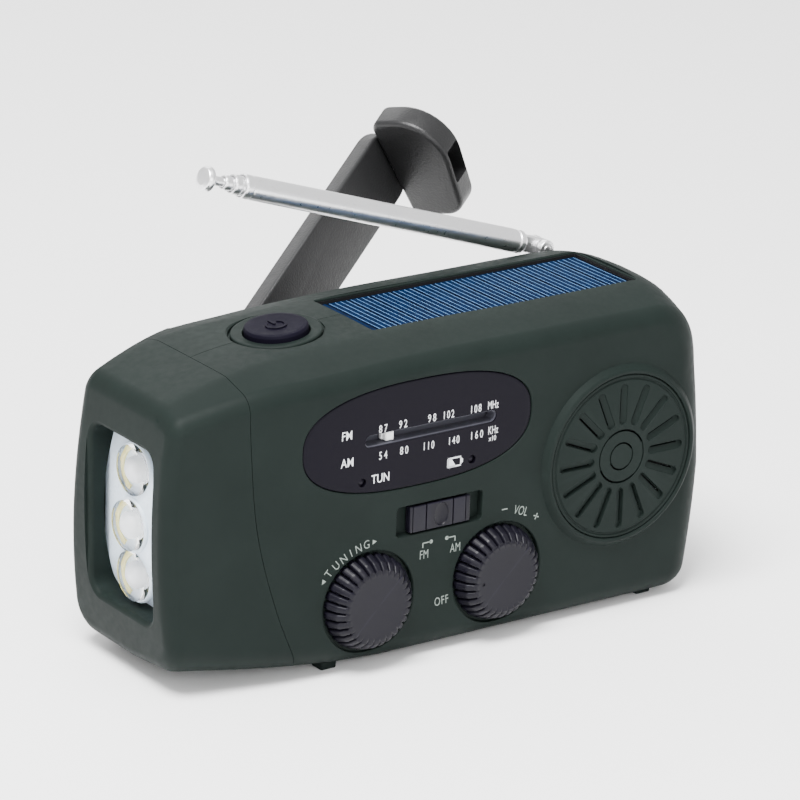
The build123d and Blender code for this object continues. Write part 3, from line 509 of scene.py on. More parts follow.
def metal(name, colour, rough, fine=0.4, depth=0.002, variation=0.05):
    look = Look(name)
    pair = (tone(colour, 1 - variation), tone(colour, 1 + variation))
    look.feed(look.ramp(look.noise(4.0), 0.3, 0.7, pair), "Base Color")
    look.rough(look.noise(0.8, 4.0), max(rough - 0.03, 0.02), rough + 0.05)
    look.set(Metallic=1.0)
    look.bump(look.noise(fine, 2.0), depth)
    return look.material


def clear(name, colour, rough, ior):
    look = Look(name)
    look.feed(look.ramp(look.noise(8.0), 0.3, 0.7, (tone(colour, 0.97), colour)), "Base Color")
    look.rough(look.noise(2.0), rough, rough + 0.03)
    look.set(Transmission_Weight=1.0, IOR=ior)
    look.bump(look.noise(3.0, 2.0), 0.004)
    return look.material


def banded(name, colours, size, rough, metallic):
    """Wound wire: fine bands round the X axis."""
    look = Look(name)
    wave = look.add("TexWave", Scale=0.31 / (size * MM), Distortion=0.4)
    wave.bands_direction = "X"
    look.link(look.add("TexCoord").outputs["Object"], wave.inputs["Vector"])
    look.feed(look.ramp(wave.outputs["Fac"], 0.2, 0.8, colours), "Base Color")
    look.rough(look.noise(2.0), rough - 0.05, rough + 0.08)
    look.set(Metallic=metallic)
    look.bump(wave.outputs["Fac"], 0.05)
    return look.material


def with_painted_glow(name, colour, strength):
    """White phosphor or diffuser with a painted glow: faint emission that brightens it."""
    look = Look(name)
    base = look.ramp(look.noise(1.2), 0.3, 0.7, (tone(colour, 0.93), colour))
    look.feed(base, "Base Color")
    look.feed(base, "Emission Color")
    look.set(Emission_Strength=strength)
    look.rough(look.noise(0.8), 0.25, 0.4)
    look.bump(look.noise(0.6, 2.0), 0.01)
    return look.material


# On these materials the lighter convex edges and knob ribs are a painted highlight.
GREEN = plastic("case_green", (0.0072, 0.0108, 0.0096), 0.50, 0.22, 0.005, edge_highlight=0.15, specular=0.05)
GREEN_INNER = plastic("inner_green", (0.007, 0.010, 0.009), 0.55, 0.22, 0.006, edge_highlight=0.25, specular=0.08)
KNOB = plastic("knob_violet_grey", (0.0040, 0.0036, 0.0066), 0.36, 0.16, 0.006, edge_highlight=0.9, specular=0.14)
BUTTON = plastic("button_violet_grey", (0.0042, 0.0036, 0.0075), 0.50, 0.2, 0.008, edge_highlight=0.4, specular=0.03)
CRANK = plastic("crank_grain", (0.0100, 0.0100, 0.0105), 0.38, 0.42, 0.060, edge_highlight=0.7, specular=0.30)
WINDOW = plastic("window_ink", (0.0030, 0.0024, 0.0050), 0.34, 3.0, 0.0006, variation=0.02, specular=0.06)
PRINT = plastic("print_white", (0.60, 0.61, 0.63), 0.45, 0.2, 0.002)
LABEL = plastic("label_grey", (0.16, 0.19, 0.17), 0.50, 0.2, 0.002)
WHITE = plastic("white_plastic", (0.80, 0.81, 0.82), 0.35, 0.3, 0.004)
# track_grey is the dial scale's own grey; on the slot liner it also paints the highlight of the slot's lower
# wall.
TRACK = plastic("track_grey", (0.060, 0.060, 0.075), 0.40, 0.3, 0.002, specular=0.2)
BLACK = plastic("black_plastic", (0.0035, 0.0035, 0.0040), 0.50, 0.25, 0.006, edge_highlight=0.1, specular=0.08)
NYLON = plastic("nylon", (0.72, 0.69, 0.60), 0.40, 0.4, 0.006)
CHROME = metal("chrome", (0.90, 0.90, 0.91), 0.30, 0.4, 0.0006, variation=0.02)
ZINC = metal("zinc_plate", (0.52, 0.53, 0.55), 0.30, 0.3, 0.006)
BRASS = metal("brass", (0.72, 0.52, 0.22), 0.25)
SILVERED = plastic("silvered_tray", (0.62, 0.72, 0.84), 0.30, 2.0, 0.003, variation=0.03)
# The lamp pane, the phosphor and the LED core carry a painted glow: faint emission that brightens them.
PANE = with_painted_glow("lamp_pane", (0.66, 0.76, 0.86), 0.12)
DOME = clear("led_dome", (1.0, 1.0, 0.99), 0.02, 1.22)
PHOSPHOR = with_painted_glow("led_phosphor", (0.86, 0.78, 0.26), 0.15)
EMITTER = with_painted_glow("led_core", (0.90, 0.92, 0.96), 0.35)
CELL = plastic("solar_cell", (0.0008, 0.0065, 0.024), 0.55, 2.0, 0.001, 1.5, 0.25, specular=0.01)
CELL_EDGE = plastic("solar_backing", (0.0015, 0.0020, 0.0045), 0.5, 0.6, 0.002, specular=0.01)
FINGER = plastic("solar_finger", (0.10, 0.20, 0.36), 0.5, 0.3, 0.001, specular=0.02)
BOARD = plastic("solder_mask", (0.020, 0.110, 0.050), 0.35, 1.2, 0.010, cloud=4.0, variation=0.25)
FERRITE = plastic("ferrite", (0.035, 0.035, 0.037), 0.55, 0.3, 0.02, edge_highlight=0.25)
COIL = banded("copper_coil", ((0.30, 0.10, 0.04), (0.62, 0.28, 0.12)), 0.35, 0.3, 0.8)
PAPER = plastic("cone_paper", (0.030, 0.030, 0.030), 0.85, 0.5, 0.05)
WRAP = plastic("battery_wrap", (0.05, 0.16, 0.36), 0.25, 1.5, 0.006)
DARK_LAMP = plastic("unlit_lamp", (0.006, 0.005, 0.009), 0.3, 0.4, 0.002, specular=0.1)


def ride_with(obj, node, material):
    """Adds a piece to a CAD node's body, with the given material."""
    obj.data.materials.clear()
    obj.data.materials.append(material)
    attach(obj, BODY[node])
    return obj


def stand_for(obj, node, material):
    """Shows a piece in place of a CAD node."""
    ride_with(obj, node, material)
    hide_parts(node)
    return obj


def dress(node, material, edge):
    """Gives a CAD node its finish, and soft edges when they are wanted."""
    obj = frame["nodes"][node]
    obj.data.materials.clear()
    obj.data.materials.append(material)
    if edge:
        edges = obj.modifiers.new("edges", "BEVEL")
        edges.width = edge * MM
        edges.segments = 2
        edges.limit_method = "ANGLE"
        edges.angle_limit = radians(35.0)
        edges.harden_normals = False


# ---------------------------------------------------------------- case shells
CORE_LOW, CORE_HIGH = np.array((-46.0, -7.0, 12.0)), np.array((46.0, 7.0, 42.0))
BOX_LOW, BOX_HIGH = np.array((-62.0, -22.5, 0.0)), np.array((62.5, 22.5, 62.5))


def skin_object(name, level, step):
    """Closed skin of the case where the field has a given level: a gridded box, pulled onto the skin."""
    counts = np.maximum(np.round((BOX_HIGH - BOX_LOW) / step).astype(int), 4)
    lines = [np.linspace(BOX_LOW[a], BOX_HIGH[a], counts[a] + 1) for a in range(3)]
    points, faces, base = [], [], 0
    for axis in range(3):
        a, b = [k for k in range(3) if k != axis]
        grid_a, grid_b = np.meshgrid(lines[a], lines[b], indexing="ij")
        i, j = np.meshgrid(np.arange(counts[a]), np.arange(counts[b]), indexing="ij")
        rows = counts[b] + 1
        for side in (BOX_LOW[axis], BOX_HIGH[axis]):
            sheet = np.empty((grid_a.size, 3))
            sheet[:, a], sheet[:, b], sheet[:, axis] = grid_a.ravel(), grid_b.ravel(), side
            first = (base + i * rows + j).ravel()
            faces.append(np.column_stack([first, first + 1, first + rows + 1, first + rows]))
            points.append(sheet)
            base += len(sheet)
    start = np.vstack(points)
    origin = np.clip(start, CORE_LOW, CORE_HIGH)
    direction = start - origin
    direction /= np.linalg.norm(direction, axis=1, keepdims=True)
    reach = march(origin, direction, level, 0, 45)
    return to_object(name, origin + direction * reach[:, None], np.vstack(faces).tolist(), 60)


def node_xz(node):
    """Where a node stands on the front of the case."""
    x, _, z = node_centre(node)
    return x, z


SPEAKER, TUNING, VOLUME, WINDOW_AT = (
    node_xz(node) for node in ("speaker_grille", "tuning_knob", "volume_knob", "dial_window")
)
GRILLE_R = (node_box("speaker_grille")[1][0] - node_box("speaker_grille")[0][0]) / 2
KNOB_R = 9.7
WINDOW_HALF = (26.0, 10.7)
WINDOW_EDGE, WINDOW_DEEP, WINDOW_DROP = 0.25, 1.5, -0.22
DIAL_AT, DIAL_SIZE = (-5.45, 44.9), (30.1, 2.5)
INDICATORS = ((-20.9, 37.0), (4.2, 37.0))
SWITCH = (-3.0, 27.4)
BUTTON_TILT, BUTTON_AT = radians(6.0), (-26.0, 0, 61.2)
BUTTON_HOLE_R, BEZEL_R = 8.85, 9.2
SOLAR_LOW, SOLAR_HIGH = node_box("solar_panel")
ANTENNA = node_centre("antenna_pin")
NOTCH_R, CHANNEL_R, CHANNEL_END = 4.7, 3.1, -38.5
REAR_LIP = 2.4
WALL_CUT = (17.5, 30)
LENS_HALF, LENS_Z = 12.0, (12.5, 46.5)
LENS_MIDDLE, LENS_HEIGHT = sum(LENS_Z) / 2, LENS_Z[1] - LENS_Z[0]
CRANK_XZ = (-21.5, 35.1)
COVER_X, COVER_Z = (22.0, 48.0), (5.5, 17.5)
SCREWS = ((-38.0, 47.5), (31.0, 52.5), (-36.0, 8.5), (53.5, 8.5))
PUSH = (-sin(BUTTON_TILT), 0, cos(BUTTON_TILT))
BUTTON_PLACE = Place(BUTTON_AT, (PUSH[2], 0, -PUSH[0]), (0, 1, 0), PUSH)
MAST_FOOT = TOP.at(ANTENNA[0], ANTENNA[1])
LAMP_PLACE = LEFT.at(0, LENS_MIDDLE)


def along_x(y, z):
    return Place((0, y, z), (0, 1, 0), (0, 0, 1), (1, 0, 0))


def front_at(x, z):
    return FRONT.at(x, z)


def rear_at(x, z):
    return REAR.at(-x, z)


def inner_features():
    """Bosses, shelves and thick walls that stand inside the case."""
    parts = [block("thick_top", (-13.5, -12, 57.2), (54, 12, 66))]
    parts += [rod("post", front_at(x, z), 3.2, -30, 30) for x, z in SCREWS]
    pad_x, pad_z = SWITCH
    parts.append(block("switch_pad", (pad_x - 12, -26, pad_z - 5), (pad_x + 12, -19.4, pad_z + 5)))
    low, high = node_box("pointer_rail")
    for x in (low[0] - 2, high[0]):
        parts.append(block("bracket", (x, -26, low[2] - 0.6), (x + 2, -15.8, high[2] + 0.6)))
    parts.append(rod("mast_block", MAST_FOOT, 6.4, 50.2, 70))
    parts.append(rod("mast_rail", along_x(ANTENNA[1], ANTENNA[2]), 4.6, -46, 52))
    parts.append(rod("crank_boss", rear_at(*CRANK_XZ), 8.8, 18, 30))
    (x0, x1), (z0, z1) = COVER_X, COVER_Z
    parts.append(block("port_block", (x0 - 1.6, 14, z0 - 1.6), (x1 + 1.6, 30, z1 + 1.6)))
    parts.append(slab("shelf", BUTTON_PLACE.at(0, 7), rounded_rect(10, 26, 0.5, 3), -12.7, -11.1))
    collar = rounded_rect(2 * LENS_HALF + 5.2, LENS_HEIGHT + 5.2, 4.0)
    parts.append(slab("collar", LAMP_PLACE, collar, 53.05, 70))
    return parts


def lens_space():
    """Clear room behind the front of the lens."""
    heights = np.linspace(LENS_Z[0] - 1.15, LENS_Z[1] + 1.15, 25)
    off = (heights - LENS_MIDDLE) / (LENS_HEIGHT / 2 + 1.15)
    bowed_front = list(zip(-57.65 + 3.4 * off**2, heights))
    back = [(-40.0, z) for z in heights[::-1]]
    room = slab("lens_space", FRONT, polygon(bowed_front + back), -13.1, 13.1)
    seat = rounded_rect(2 * LENS_HALF + 2.2, LENS_HEIGHT + 2.2, 3.6)
    return combine(room, [slab("seat", LAMP_PLACE, seat, 48.0, 70)], "INTERSECT")


def wavy_prism(name, shift, side):
    """Everything on one side of the seam between the lamp head and the case."""
    slopes = np.gradient(np.array(SEAM[1]), np.array(SEAM[0]))
    heights = np.linspace(-5, 80, 60)
    edge = list(zip(hermite((*SEAM, slopes), heights) + shift, heights))
    return slab(name, FRONT, polygon(edge + [(side * 90, 80), (side * 90, -5)]), -40, 40)


def window_cut():
    """Cutter for the recess under the dial window, with a floor that follows the skin."""
    window = superellipse(*WINDOW_HALF)
    rings = [flat_ring(FRONT, window(WINDOW_EDGE) + WINDOW_AT, 60)]
    for s, c in quarter(4):
        rings.append(follow(FRONT, window(WINDOW_EDGE * s), *WINDOW_AT, 0.01 - WINDOW_EDGE * c))
    rings += [follow(FRONT, window() * k, *WINDOW_AT, -WINDOW_DEEP) for k in (1.0, 0.8, 0.6, 0.4, 0.2, 0.03)]
    return loft("window_cut", rings)


def window_holes(shrink):
    """Cutters for the dial's slot and the indicator lamps."""
    slot = slab("slot", front_at(*DIAL_AT), stadium(*DIAL_SIZE), *WALL_CUT)
    return [slot] + [rod("hole", front_at(*at), 0.9 - shrink, *WALL_CUT, 32) for at in INDICATORS]


def front_cutters():
    """Recesses and holes of the front face."""
    cuts = [window_cut(), *window_holes(0.0)]
    cuts.append(pocket(FRONT, rounded_rect(19.8, 6.0, 0.8), *SWITCH, 20.8))
    cuts.append(slab("stem_cut", front_at(*SWITCH), rounded_rect(9.2, 2.6, 0.3), 17, 30))
    for knob in (TUNING, VOLUME):
        cuts.append(pocket(FRONT, circle(KNOB_R + 0.5), *knob, 21.3, 0.35))
        cuts.append(rod("shaft_cut", front_at(*knob), 3.3, 15, 30))
    cuts.append(rod("grille_cut", front_at(*SPEAKER), GRILLE_R + 0.12, 21.9, 40, 160))
    cuts.append(rod("speaker_cut", front_at(*SPEAKER), 15.2, 15, 40, 128))
    return cuts


def top_cutters():
    """Recesses and holes of the top: button, solar panel, antenna notch and channel."""
    cuts = [button_groove(), rod("button_cut", BUTTON_PLACE, BUTTON_HOLE_R, -8, 20, 96)]
    length, depth, _ = SOLAR_HIGH - SOLAR_LOW
    middle = (SOLAR_LOW[0] + SOLAR_HIGH[0]) / 2
    cuts.append(pocket(TOP, rounded_rect(length + 0.4, depth + 0.4, 0.5), middle, 0.0, SOLAR_LOW[2], 0.35))
    x, y, z = ANTENNA
    cuts.append(rod("notch", MAST_FOOT, NOTCH_R, 54, 80))
    cuts.append(block("notch_mouth", (x - NOTCH_R, y, 54), (x + NOTCH_R, y + 10, 80)))
    cuts.append(rod("channel", along_x(y, z), CHANNEL_R, CHANNEL_END, x))
    cuts.append(block("channel_mouth", (CHANNEL_END, y, z - CHANNEL_R), (x, y + 10, 80)))
    cuts.append(rod("stud_cut", MAST_FOOT, 1.6, 51.5, 56, 32))
    return cuts


def end_and_rear_cutters():
    """The lamp's opening, and the holes for the crank, sockets and screws."""
    opening = rounded_rect(2 * LENS_HALF - REAR_LIP, LENS_HEIGHT, 3.0)
    cuts = [pocket(LEFT, opening, REAR_LIP / 2, LENS_MIDDLE, 48.0, 1.1, 8), lens_space()]
    cuts.append(rod("bush_cut", rear_at(*CRANK_XZ), 5.15, 10, 40))
    cover = rounded_rect(COVER_X[1] - COVER_X[0], COVER_Z[1] - COVER_Z[0], 0.6)
    cuts.append(pocket(REAR, cover, -sum(COVER_X) / 2, sum(COVER_Z) / 2, 20.6, 0.25))
    for node in ("usb_port", "charge_port"):
        (x0, _, z0), (x1, _, z1) = node_box(node)
        cuts.append(block("port_cut", (x0 - 0.05, 10, z0 - 0.05), (x1 + 0.05, 30, z1 + 0.05)))
    for x, z in SCREWS:
        cuts.append(pocket(REAR, circle(2.3, 48), -x, z, 12.0, 0.25))
        cuts.append(rod("screw_hole", front_at(x, z), 1.25, -20, 12, 32))
    return cuts


def button_groove():
    """Shallow ring round the button's bezel, with a soft outer lip."""
    lip = 0.35
    stops = [(lip, 20), (lip, 1.4)] + [(lip * s, 0.2 - lip * c) for s, c in quarter(5)] + [(0.0, -0.6)]
    return loft("button_groove", [flat_ring(BUTTON_PLACE, circle(BEZEL_R)(grow), h) for grow, h in stops])


def speaker_ring():
    """Conical rim round the speaker grille."""
    shape = [(0.12, 20.4), (2.15, 20.4), (2.15, 22.35), (1.15, 23.45, 0.5), (0.75, 23.7, 0.15),
             (0.22, 23.65, 0.12), (0.12, 23.3), (0.12, 20.4)]
    corners = [(GRILLE_R + r, *rest) for r, *rest in shape]
    return lathe("speaker_ring", front_at(*SPEAKER), corners, 160, hollow=True)


def mesh_values(items, name, width, kind=float):
    """One attribute of many mesh elements, as an array with a row for each element."""
    values = np.empty(len(items) * width, kind)
    items.foreach_get(name, values)
    return values.reshape(-1, width) if width > 1 else values


def smooth_skin_normals(obj):
    """Keeps the case skin's own curvature where cutting has split its faces."""
    mesh = obj.data
    points = mesh_values(mesh.vertices, "co", 3) / MM
    normal = case_normal(points)
    on_skin = np.abs(case_field(*points.T)) < 0.06
    loops = mesh_values(mesh.loops, "vertex_index", 1, int)
    starts, totals = (mesh_values(mesh.polygons, name, 1, int) for name in ("loop_start", "loop_total"))
    facing = mesh_values(mesh.polygons, "normal", 3)
    corner = np.array([tuple(n.vector) for n in mesh.corner_normals])
    owner = np.repeat(np.arange(len(totals)), totals)
    agree = np.einsum("ij,ij->i", normal[loops], facing[owner]) > 0.85
    use = np.bitwise_and.reduceat(on_skin[loops] & agree, starts)[owner]
    corner[use] = normal[loops][use]
    mesh.normals_split_custom_set(corner.tolist())


def build_shells():
    outer = skin_object("outer", 0.0, SKIN_STEP)
    cavity = skin_object("cavity", -WALL, SKIN_STEP * 2)
    combine(cavity, inner_features())
    combine(outer, [cavity])
    combine(outer, [speaker_ring()], "UNION")
    combine(outer, front_cutters() + top_cutters() + end_and_rear_cutters())
    lamp, front = copy_of(outer, "lamp_head_shell"), copy_of(outer, "front_shell")
    gap = 0.06
    combine(lamp, [wavy_prism("lamp_side", -gap, -1)], "INTERSECT")
    combine(front, [wavy_prism("case_side", gap, 1)], "INTERSECT")
    rear = copy_of(front, "rear_shell")
    combine(front, [block("front_half", (-90, -40, -10), (90, -gap, 90))], "INTERSECT")
    combine(rear, [block("rear_half", (-90, gap, -10), (90, 40, 90))], "INTERSECT")
    bpy.data.objects.remove(outer)
    for obj, node in ((front, "front_housing"), (rear, "rear_housing"), (lamp, "lamp_head")):
        smooth_skin_normals(obj)
        stand_for(obj, node, GREEN)


build_shells()


# ---------------------------------------------------------------- dial window
def raised_print(name, marks, lift, node, material, level=0.0):
    """Ink that follows the front of the case; each mark is its (points, faces) in the plane of the front."""
    points, faces, base = [], [], 0
    for uv, polys in marks:
        points.append(follow(FRONT, uv, 0, 0, level, lift))
        faces += [tuple(base + i for i in poly) for poly in polys]
        base += len(uv)
    ride_with(to_object(name, np.vstack(points), faces), node, material)


def spun(points, degrees):
    """Points of a plane turned about its origin."""
    c, s = cos(radians(degrees)), sin(radians(degrees))
    return np.asarray(points, float) @ np.array([[c, s], [-s, c]])


def lettering(text, size, u, v, turn=0.0, squeeze=1.0, spacing=1.0, weight=0.0):
    """Flat letters centred on (u, v), as points and faces in millimetres."""
    curve = bpy.data.curves.new("letters", "FONT")
    curve.body = text
    curve.size = 10.0
    curve.align_x = curve.align_y = "CENTER"
    curve.space_character = spacing
    curve.offset = weight
    curve.resolution_u = 3
    holder = new_object("letters", curve)
    graph = bpy.context.evaluated_depsgraph_get()
    mesh = bpy.data.meshes.new_from_object(holder.evaluated_get(graph))
    uv = np.array([vertex.co[:2] for vertex in mesh.vertices])
    bpy.data.objects.remove(holder)
    cap_height = 7.0
    uv = (uv - (uv.min(0) + uv.max(0)) / 2) * (size / cap_height) * (squeeze, 1.0)
    return spun(uv, turn) + (u, v), [tuple(face.vertices) for face in mesh.polygons]


def filled(outline, u, v, turn=0.0):
    return spun(outline, turn) + (u, v), [tuple(range(len(outline)))]


def bar(width, height, u, v, turn=0.0):
    w, h = width / 2, height / 2
    return filled([(-w, -h), (w, -h), (w, h), (-w, h)], u, v, turn)


def build_window():
    outline = superellipse(WINDOW_HALF[0] - 0.12, WINDOW_HALF[1] - 0.12)
    scales = (0.03, 0.15, 0.3, 0.45, 0.6, 0.75, 0.88, 0.96)
    rings = [follow(FRONT, outline() * k, *WINDOW_AT, WINDOW_DROP) for k in scales]
    for s, c in quarter(3):
        rings.append(follow(FRONT, outline(-WINDOW_EDGE * s), *WINDOW_AT, WINDOW_DROP - WINDOW_EDGE * c))
    back = 0.05 - WINDOW_DEEP
    rings += [follow(FRONT, outline() * k, *WINDOW_AT, back) for k in (1.0,) + scales[::-1]]
    plate = loft("window_plate", rings)
    combine(plate, window_holes(0.05))
    stand_for(plate, "dial_window", WINDOW)


def build_dial_print():
    upper, lower = 47.1, 41.8
    figures = (("87", -16.5, upper - 0.1), ("92", -12.0, upper), ("98", -5.4, upper), ("102", -1.5, upper),
               ("108", 4.8, upper), ("54", -16.35, lower - 0.1), ("80", -11.6, lower),
               ("110", -5.9, lower - 0.1), ("140", -0.1, lower - 0.1))
    marks = []
    for text, u, v in figures:
        spacing, squeeze = (1.5, 0.70) if len(text) == 2 else (1.3, 0.68)
        marks.append(lettering(text, 1.55, u, v, 0, squeeze, spacing, 0.05))
    marks.append(lettering("160", 1.55, 5.2, lower, 0, 0.70, 1.5, 0.05))
    for text, size, u, v, squeeze, weight in (
        ("MHz", 1.6, 8.75, upper + 0.1, 0.58, 0.03),
        ("KHz", 1.6, 8.95, lower + 0.3, 0.58, 0.03),
        ("x10", 1.0, 8.8, lower - 1.35, 0.80, 0.12),
        ("FM", 1.75, -24.6, upper - 0.1, 0.80, 0.06),
        ("AM", 1.75, -24.45, lower - 0.15, 0.80, 0.06),
        ("TUN", 1.75, -16.85, 37.25, 0.80, 0.08),
    ):
        marks.append(lettering(text, size, u, v, squeeze=squeeze, weight=weight))
    marks += battery_mark(0.1, 37.25)
    raised_print("dial_print", marks, 0.02, "dial_window", PRINT, WINDOW_DROP)


def battery_mark(u, v):
    """Half-full battery sign."""
    w, h, t = 1.5, 0.85, 0.3
    return [
        bar(2 * w, t, u, v + h),
        bar(2 * w, t, u, v - h),
        bar(t, 2 * h, u - w, v),
        bar(t, 2 * h - 0.4, u + w, v),
        bar(0.35, 0.8, u + w + 0.3, v),
        filled([(-w, -h), (0.35, -h), (-0.75, h), (-w, h)], u, v),
    ]


def build_case_print():
    marks = []
    arched = (("T", -28.1, 20.3), ("U", -26.45, 21.6), ("N", -24.8, 22.65), ("I", -23.2, 23.5),
              ("N", -21.5, 24.1), ("G", -19.7, 24.55))
    for text, u, v in arched:
        lean = degrees(atan2(v - TUNING[1], u - TUNING[0])) - 90
        marks.append(lettering(text, 1.7, u, v, lean, 0.85, weight=-0.05))
    for u, v, turn in ((-29.2, 18.8, 235), (-17.95, 24.75, 0)):
        marks.append(filled([(0.55, 0), (-0.4, 0.5), (-0.4, -0.5)], u, v, turn))
    for text, size, u, v, turn, squeeze, spacing in (
        ("OFF", 1.75, -2.0, 9.6, 4, 0.72, 1.1),
        ("VOL", 1.85, 16.1, 24.4, -18, 0.66, 1.05),
        ("FM", 1.8, -6.4, 19.9, 0, 0.66, 1.05),
        ("AM", 1.8, 0.8, 19.9, 0, 0.66, 1.05),
    ):
        marks.append(lettering(text, size, u, v, turn, squeeze, spacing, -0.05))
    marks += [bar(1.3, 0.24, 12.2, 25.4), bar(1.3, 0.24, 19.8, 22.5, -24), bar(0.24, 1.3, 19.8, 22.5, -24)]
    for u, side in ((-6.75, 1), (0.7, -1)):
        marks += [bar(0.22, 1.0, u, 21.75), bar(1.9, 0.22, u + side * 0.9, 22.2)]
        marks.append(filled(circle(0.4, 20)(), u + side * 1.9, 22.2))
    raised_print("case_print", marks, 0.015, "front_housing", LABEL)


def build_pointer():
    low, high = node_box("dial_pointer")
    x, slot_z = (low[0] + high[0]) / 2, DIAL_AT[1]
    rail_z = node_centre("pointer_rail")[2]
    arm_shape = rounded_rect(2.4, rail_z - slot_z + 1, 0.3)
    finger = slab("tip", front_at(x, slot_z), rounded_rect(1.9, 1.96, 0.25), 19.2, 21.5, 0.45, 0.05)
    arm = slab("arm", front_at(x, (slot_z - 1 + rail_z) / 2), arm_shape, 19.35, 20.2, 0.15)
    runner = slab("pointer_runner", front_at(x, rail_z), rounded_rect(5.0, 4.0, 0.4), 15.8, 20.2, 0.25)
    combine(runner, [finger, arm], "UNION")
    combine(runner, [rod("bore", along_x(-17.6, rail_z), 1.05, x - 5, x + 5, 32)])
    stand_for(runner, "dial_pointer", WHITE)


def build_slot_liner():
    """Grey channel that lines the dial's slot: its lighter walls paint the highlight along the slot's lower
    wall.
    """
    outline = stadium(DIAL_SIZE[0] - 0.04, DIAL_SIZE[1] - 0.04)
    rings = []
    for shrink, rise in ((0.0, -3.0), (0.0, -0.5), (0.16, -0.5), (0.16, -3.0), (0.0, -3.0)):
        uv = outline(-shrink) + DIAL_AT
        h = np.maximum(skin_height(FRONT, uv) + rise, 18.95)
        rings.append(FRONT.put(np.column_stack([uv, h])))
    ride_with(tube_of("slot_liner", rings), "dial_scale", TRACK)


def build_indicators():
    corners = [(0, 16.0), (1.4, 16.0, 0.1), (1.4, 18.6, 0.1), (0.78, 18.6), (0.78, 21.75, 0.5), (0, 22.0)]
    for i, at in enumerate(INDICATORS):
        stand_for(lathe(f"indicator_{i}", front_at(*at), corners, 32), "indicator_lamps", DARK_LAMP)


build_window()
build_dial_print()
build_case_print()
build_pointer()
build_slot_liner()
build_indicators()


# ---------------------------------------------------------------- knobs, switch, button
FLUTES = 30


def fluted_knob(name, node, dot):
    """Knob with broad lobes parted by narrow grooves down its conical flank."""
    place = front_at(*node_xz(node))
    corners = [(6.9, 25.75), (7.35, 25.55, 0.25), (8.5, 24.4, 1.6), (9.4, 22.3, 0.6), (9.45, 21.5)]
    flank = np.array(rounded_path(corners, 6))
    path = []
    for start, end in zip(flank, flank[1:]):
        pieces = max(1, int(dist(start, end) / 0.25))
        path += [start + (end - start) * k / pieces for k in range(pieces)]
    path = np.array(path + [flank[-1]])
    tangent = np.gradient(path, axis=0)
    tangent /= np.linalg.norm(tangent, axis=1, keepdims=True)
    count = FLUTES * 18
    phase = np.arange(count) * FLUTES / count % 1.0
    near = np.minimum(phase, 1 - phase) * 2
    relief = 0.16 * near**0.7 - 0.75 * np.exp(-((near / 0.22) ** 2))
    unit = circle(1.0, count)()
    rings = [flat_ring(place, unit * r, h) for r, h in ((0.3, 25.62), (3, 25.64), (6.0, 25.68), (6.4, 25.7))]
    for k, ((r, h), (across, down)) in enumerate(zip(path, np.abs(tangent))):
        offset = min(1.0, 0.35 + 4.0 * k / (len(path) - 1)) * relief
        height = np.minimum(h + offset * across * 0.6, 25.78)
        rings.append(place.put(np.column_stack([unit * (r + offset * down)[:, None], height])))
    rings += [flat_ring(place, unit * r, h) for r, h in ((3.05, 21.5), (3.05, 24.2), (0.3, 24.2))]
    knob = loft(name, rings, 40)
    if dot:
        hollow = [(0, 25.3), (0.35, 25.45), (0.42, 26.2), (0, 26.2)]
        combine(knob, [lathe("dot_cut", place.at(-5.3, -0.4), hollow, 24)])
    stand_for(knob, node, KNOB)


def build_slider():
    place = front_at(*SWITCH)
    body = slab("slider", place, rounded_rect(13.9, 5.2, 0.25, 4), 21.1, 22.6, 0.18, 0.05)
    cuts = []
    for u, width in ((-6.3, 0.18), (-3.2, 0.3), (3.0, 0.3), (5.9, 0.18)):
        cuts.append(slab("rib", place.at(u), rounded_rect(width, 7.0, 0.05, 2), 22.1, 23.0))
    oval, middle = superellipse(1.55, 2.25, 2.0, 64), place.at(0.3)
    bowl = ((0.1, 23.0), (0.1, 22.61), (-0.1, 22.35), (-0.8, 22.15))
    cuts.append(loft("thumb", [flat_ring(middle, oval(grow), h) for grow, h in bowl]))
    combine(body, cuts)
    combine(body, [slab("stem", place, rounded_rect(3.2, 2.0, 0.2, 3), 17.4, 21.3)], "UNION")
    stand_for(body, "band_slider", KNOB)


def build_button():
    profile = [(0, 1.16), (3.0, 1.20), (5.2, 1.42, 0.8), (5.95, 1.36, 0.3), (6.2, 0.8, 0.3), (6.2, -2.3),
               (7.1, -2.3, 0.1), (7.1, -3.1, 0.1), (1.5, -3.1), (1.5, -5.0), (0, -5.0)]
    cap = lathe("button_cap", BUTTON_PLACE, profile, 128)
    turn = np.linspace(radians(-235), radians(55), 40)
    sweep = np.column_stack([np.cos(turn), np.sin(turn)])
    arc = slab("icon_arc", BUTTON_PLACE, polygon(np.vstack([sweep * 2.1, sweep[::-1] * 1.6])), 0.8, 1.45)
    stroke = slab("icon_bar", BUTTON_PLACE.at(0, 1.5), rounded_rect(0.5, 2.4, 0.2, 3), 0.8, 1.45)
    combine(cap, [arc, stroke], "UNION")
    stand_for(cap, "lamp_button", BUTTON)
    ring = [(7.4, -3.0), (8.8, -3.0), (8.8, 0.22, 0.35), (8.3, 0.3, 0.3), (7.0, 0.12, 0.5), (6.45, 0.1, 0.2),
            (6.45, -1.8), (7.4, -1.8), (7.4, -3.0)]
    bezel = lathe("button_ring", BUTTON_PLACE, ring, 128, hollow=True)
    stand_for(bezel, "button_bezel", GREEN)


fluted_knob("knob_tuning", "tuning_knob", False)
fluted_knob("knob_volume", "volume_knob", True)
build_slider()
build_button()


# ---------------------------------------------------------------- speaker grille
SPOKES, SPOKE_SIZE, SPOKE_AT = 16, (8.2, 1.6), 10.7


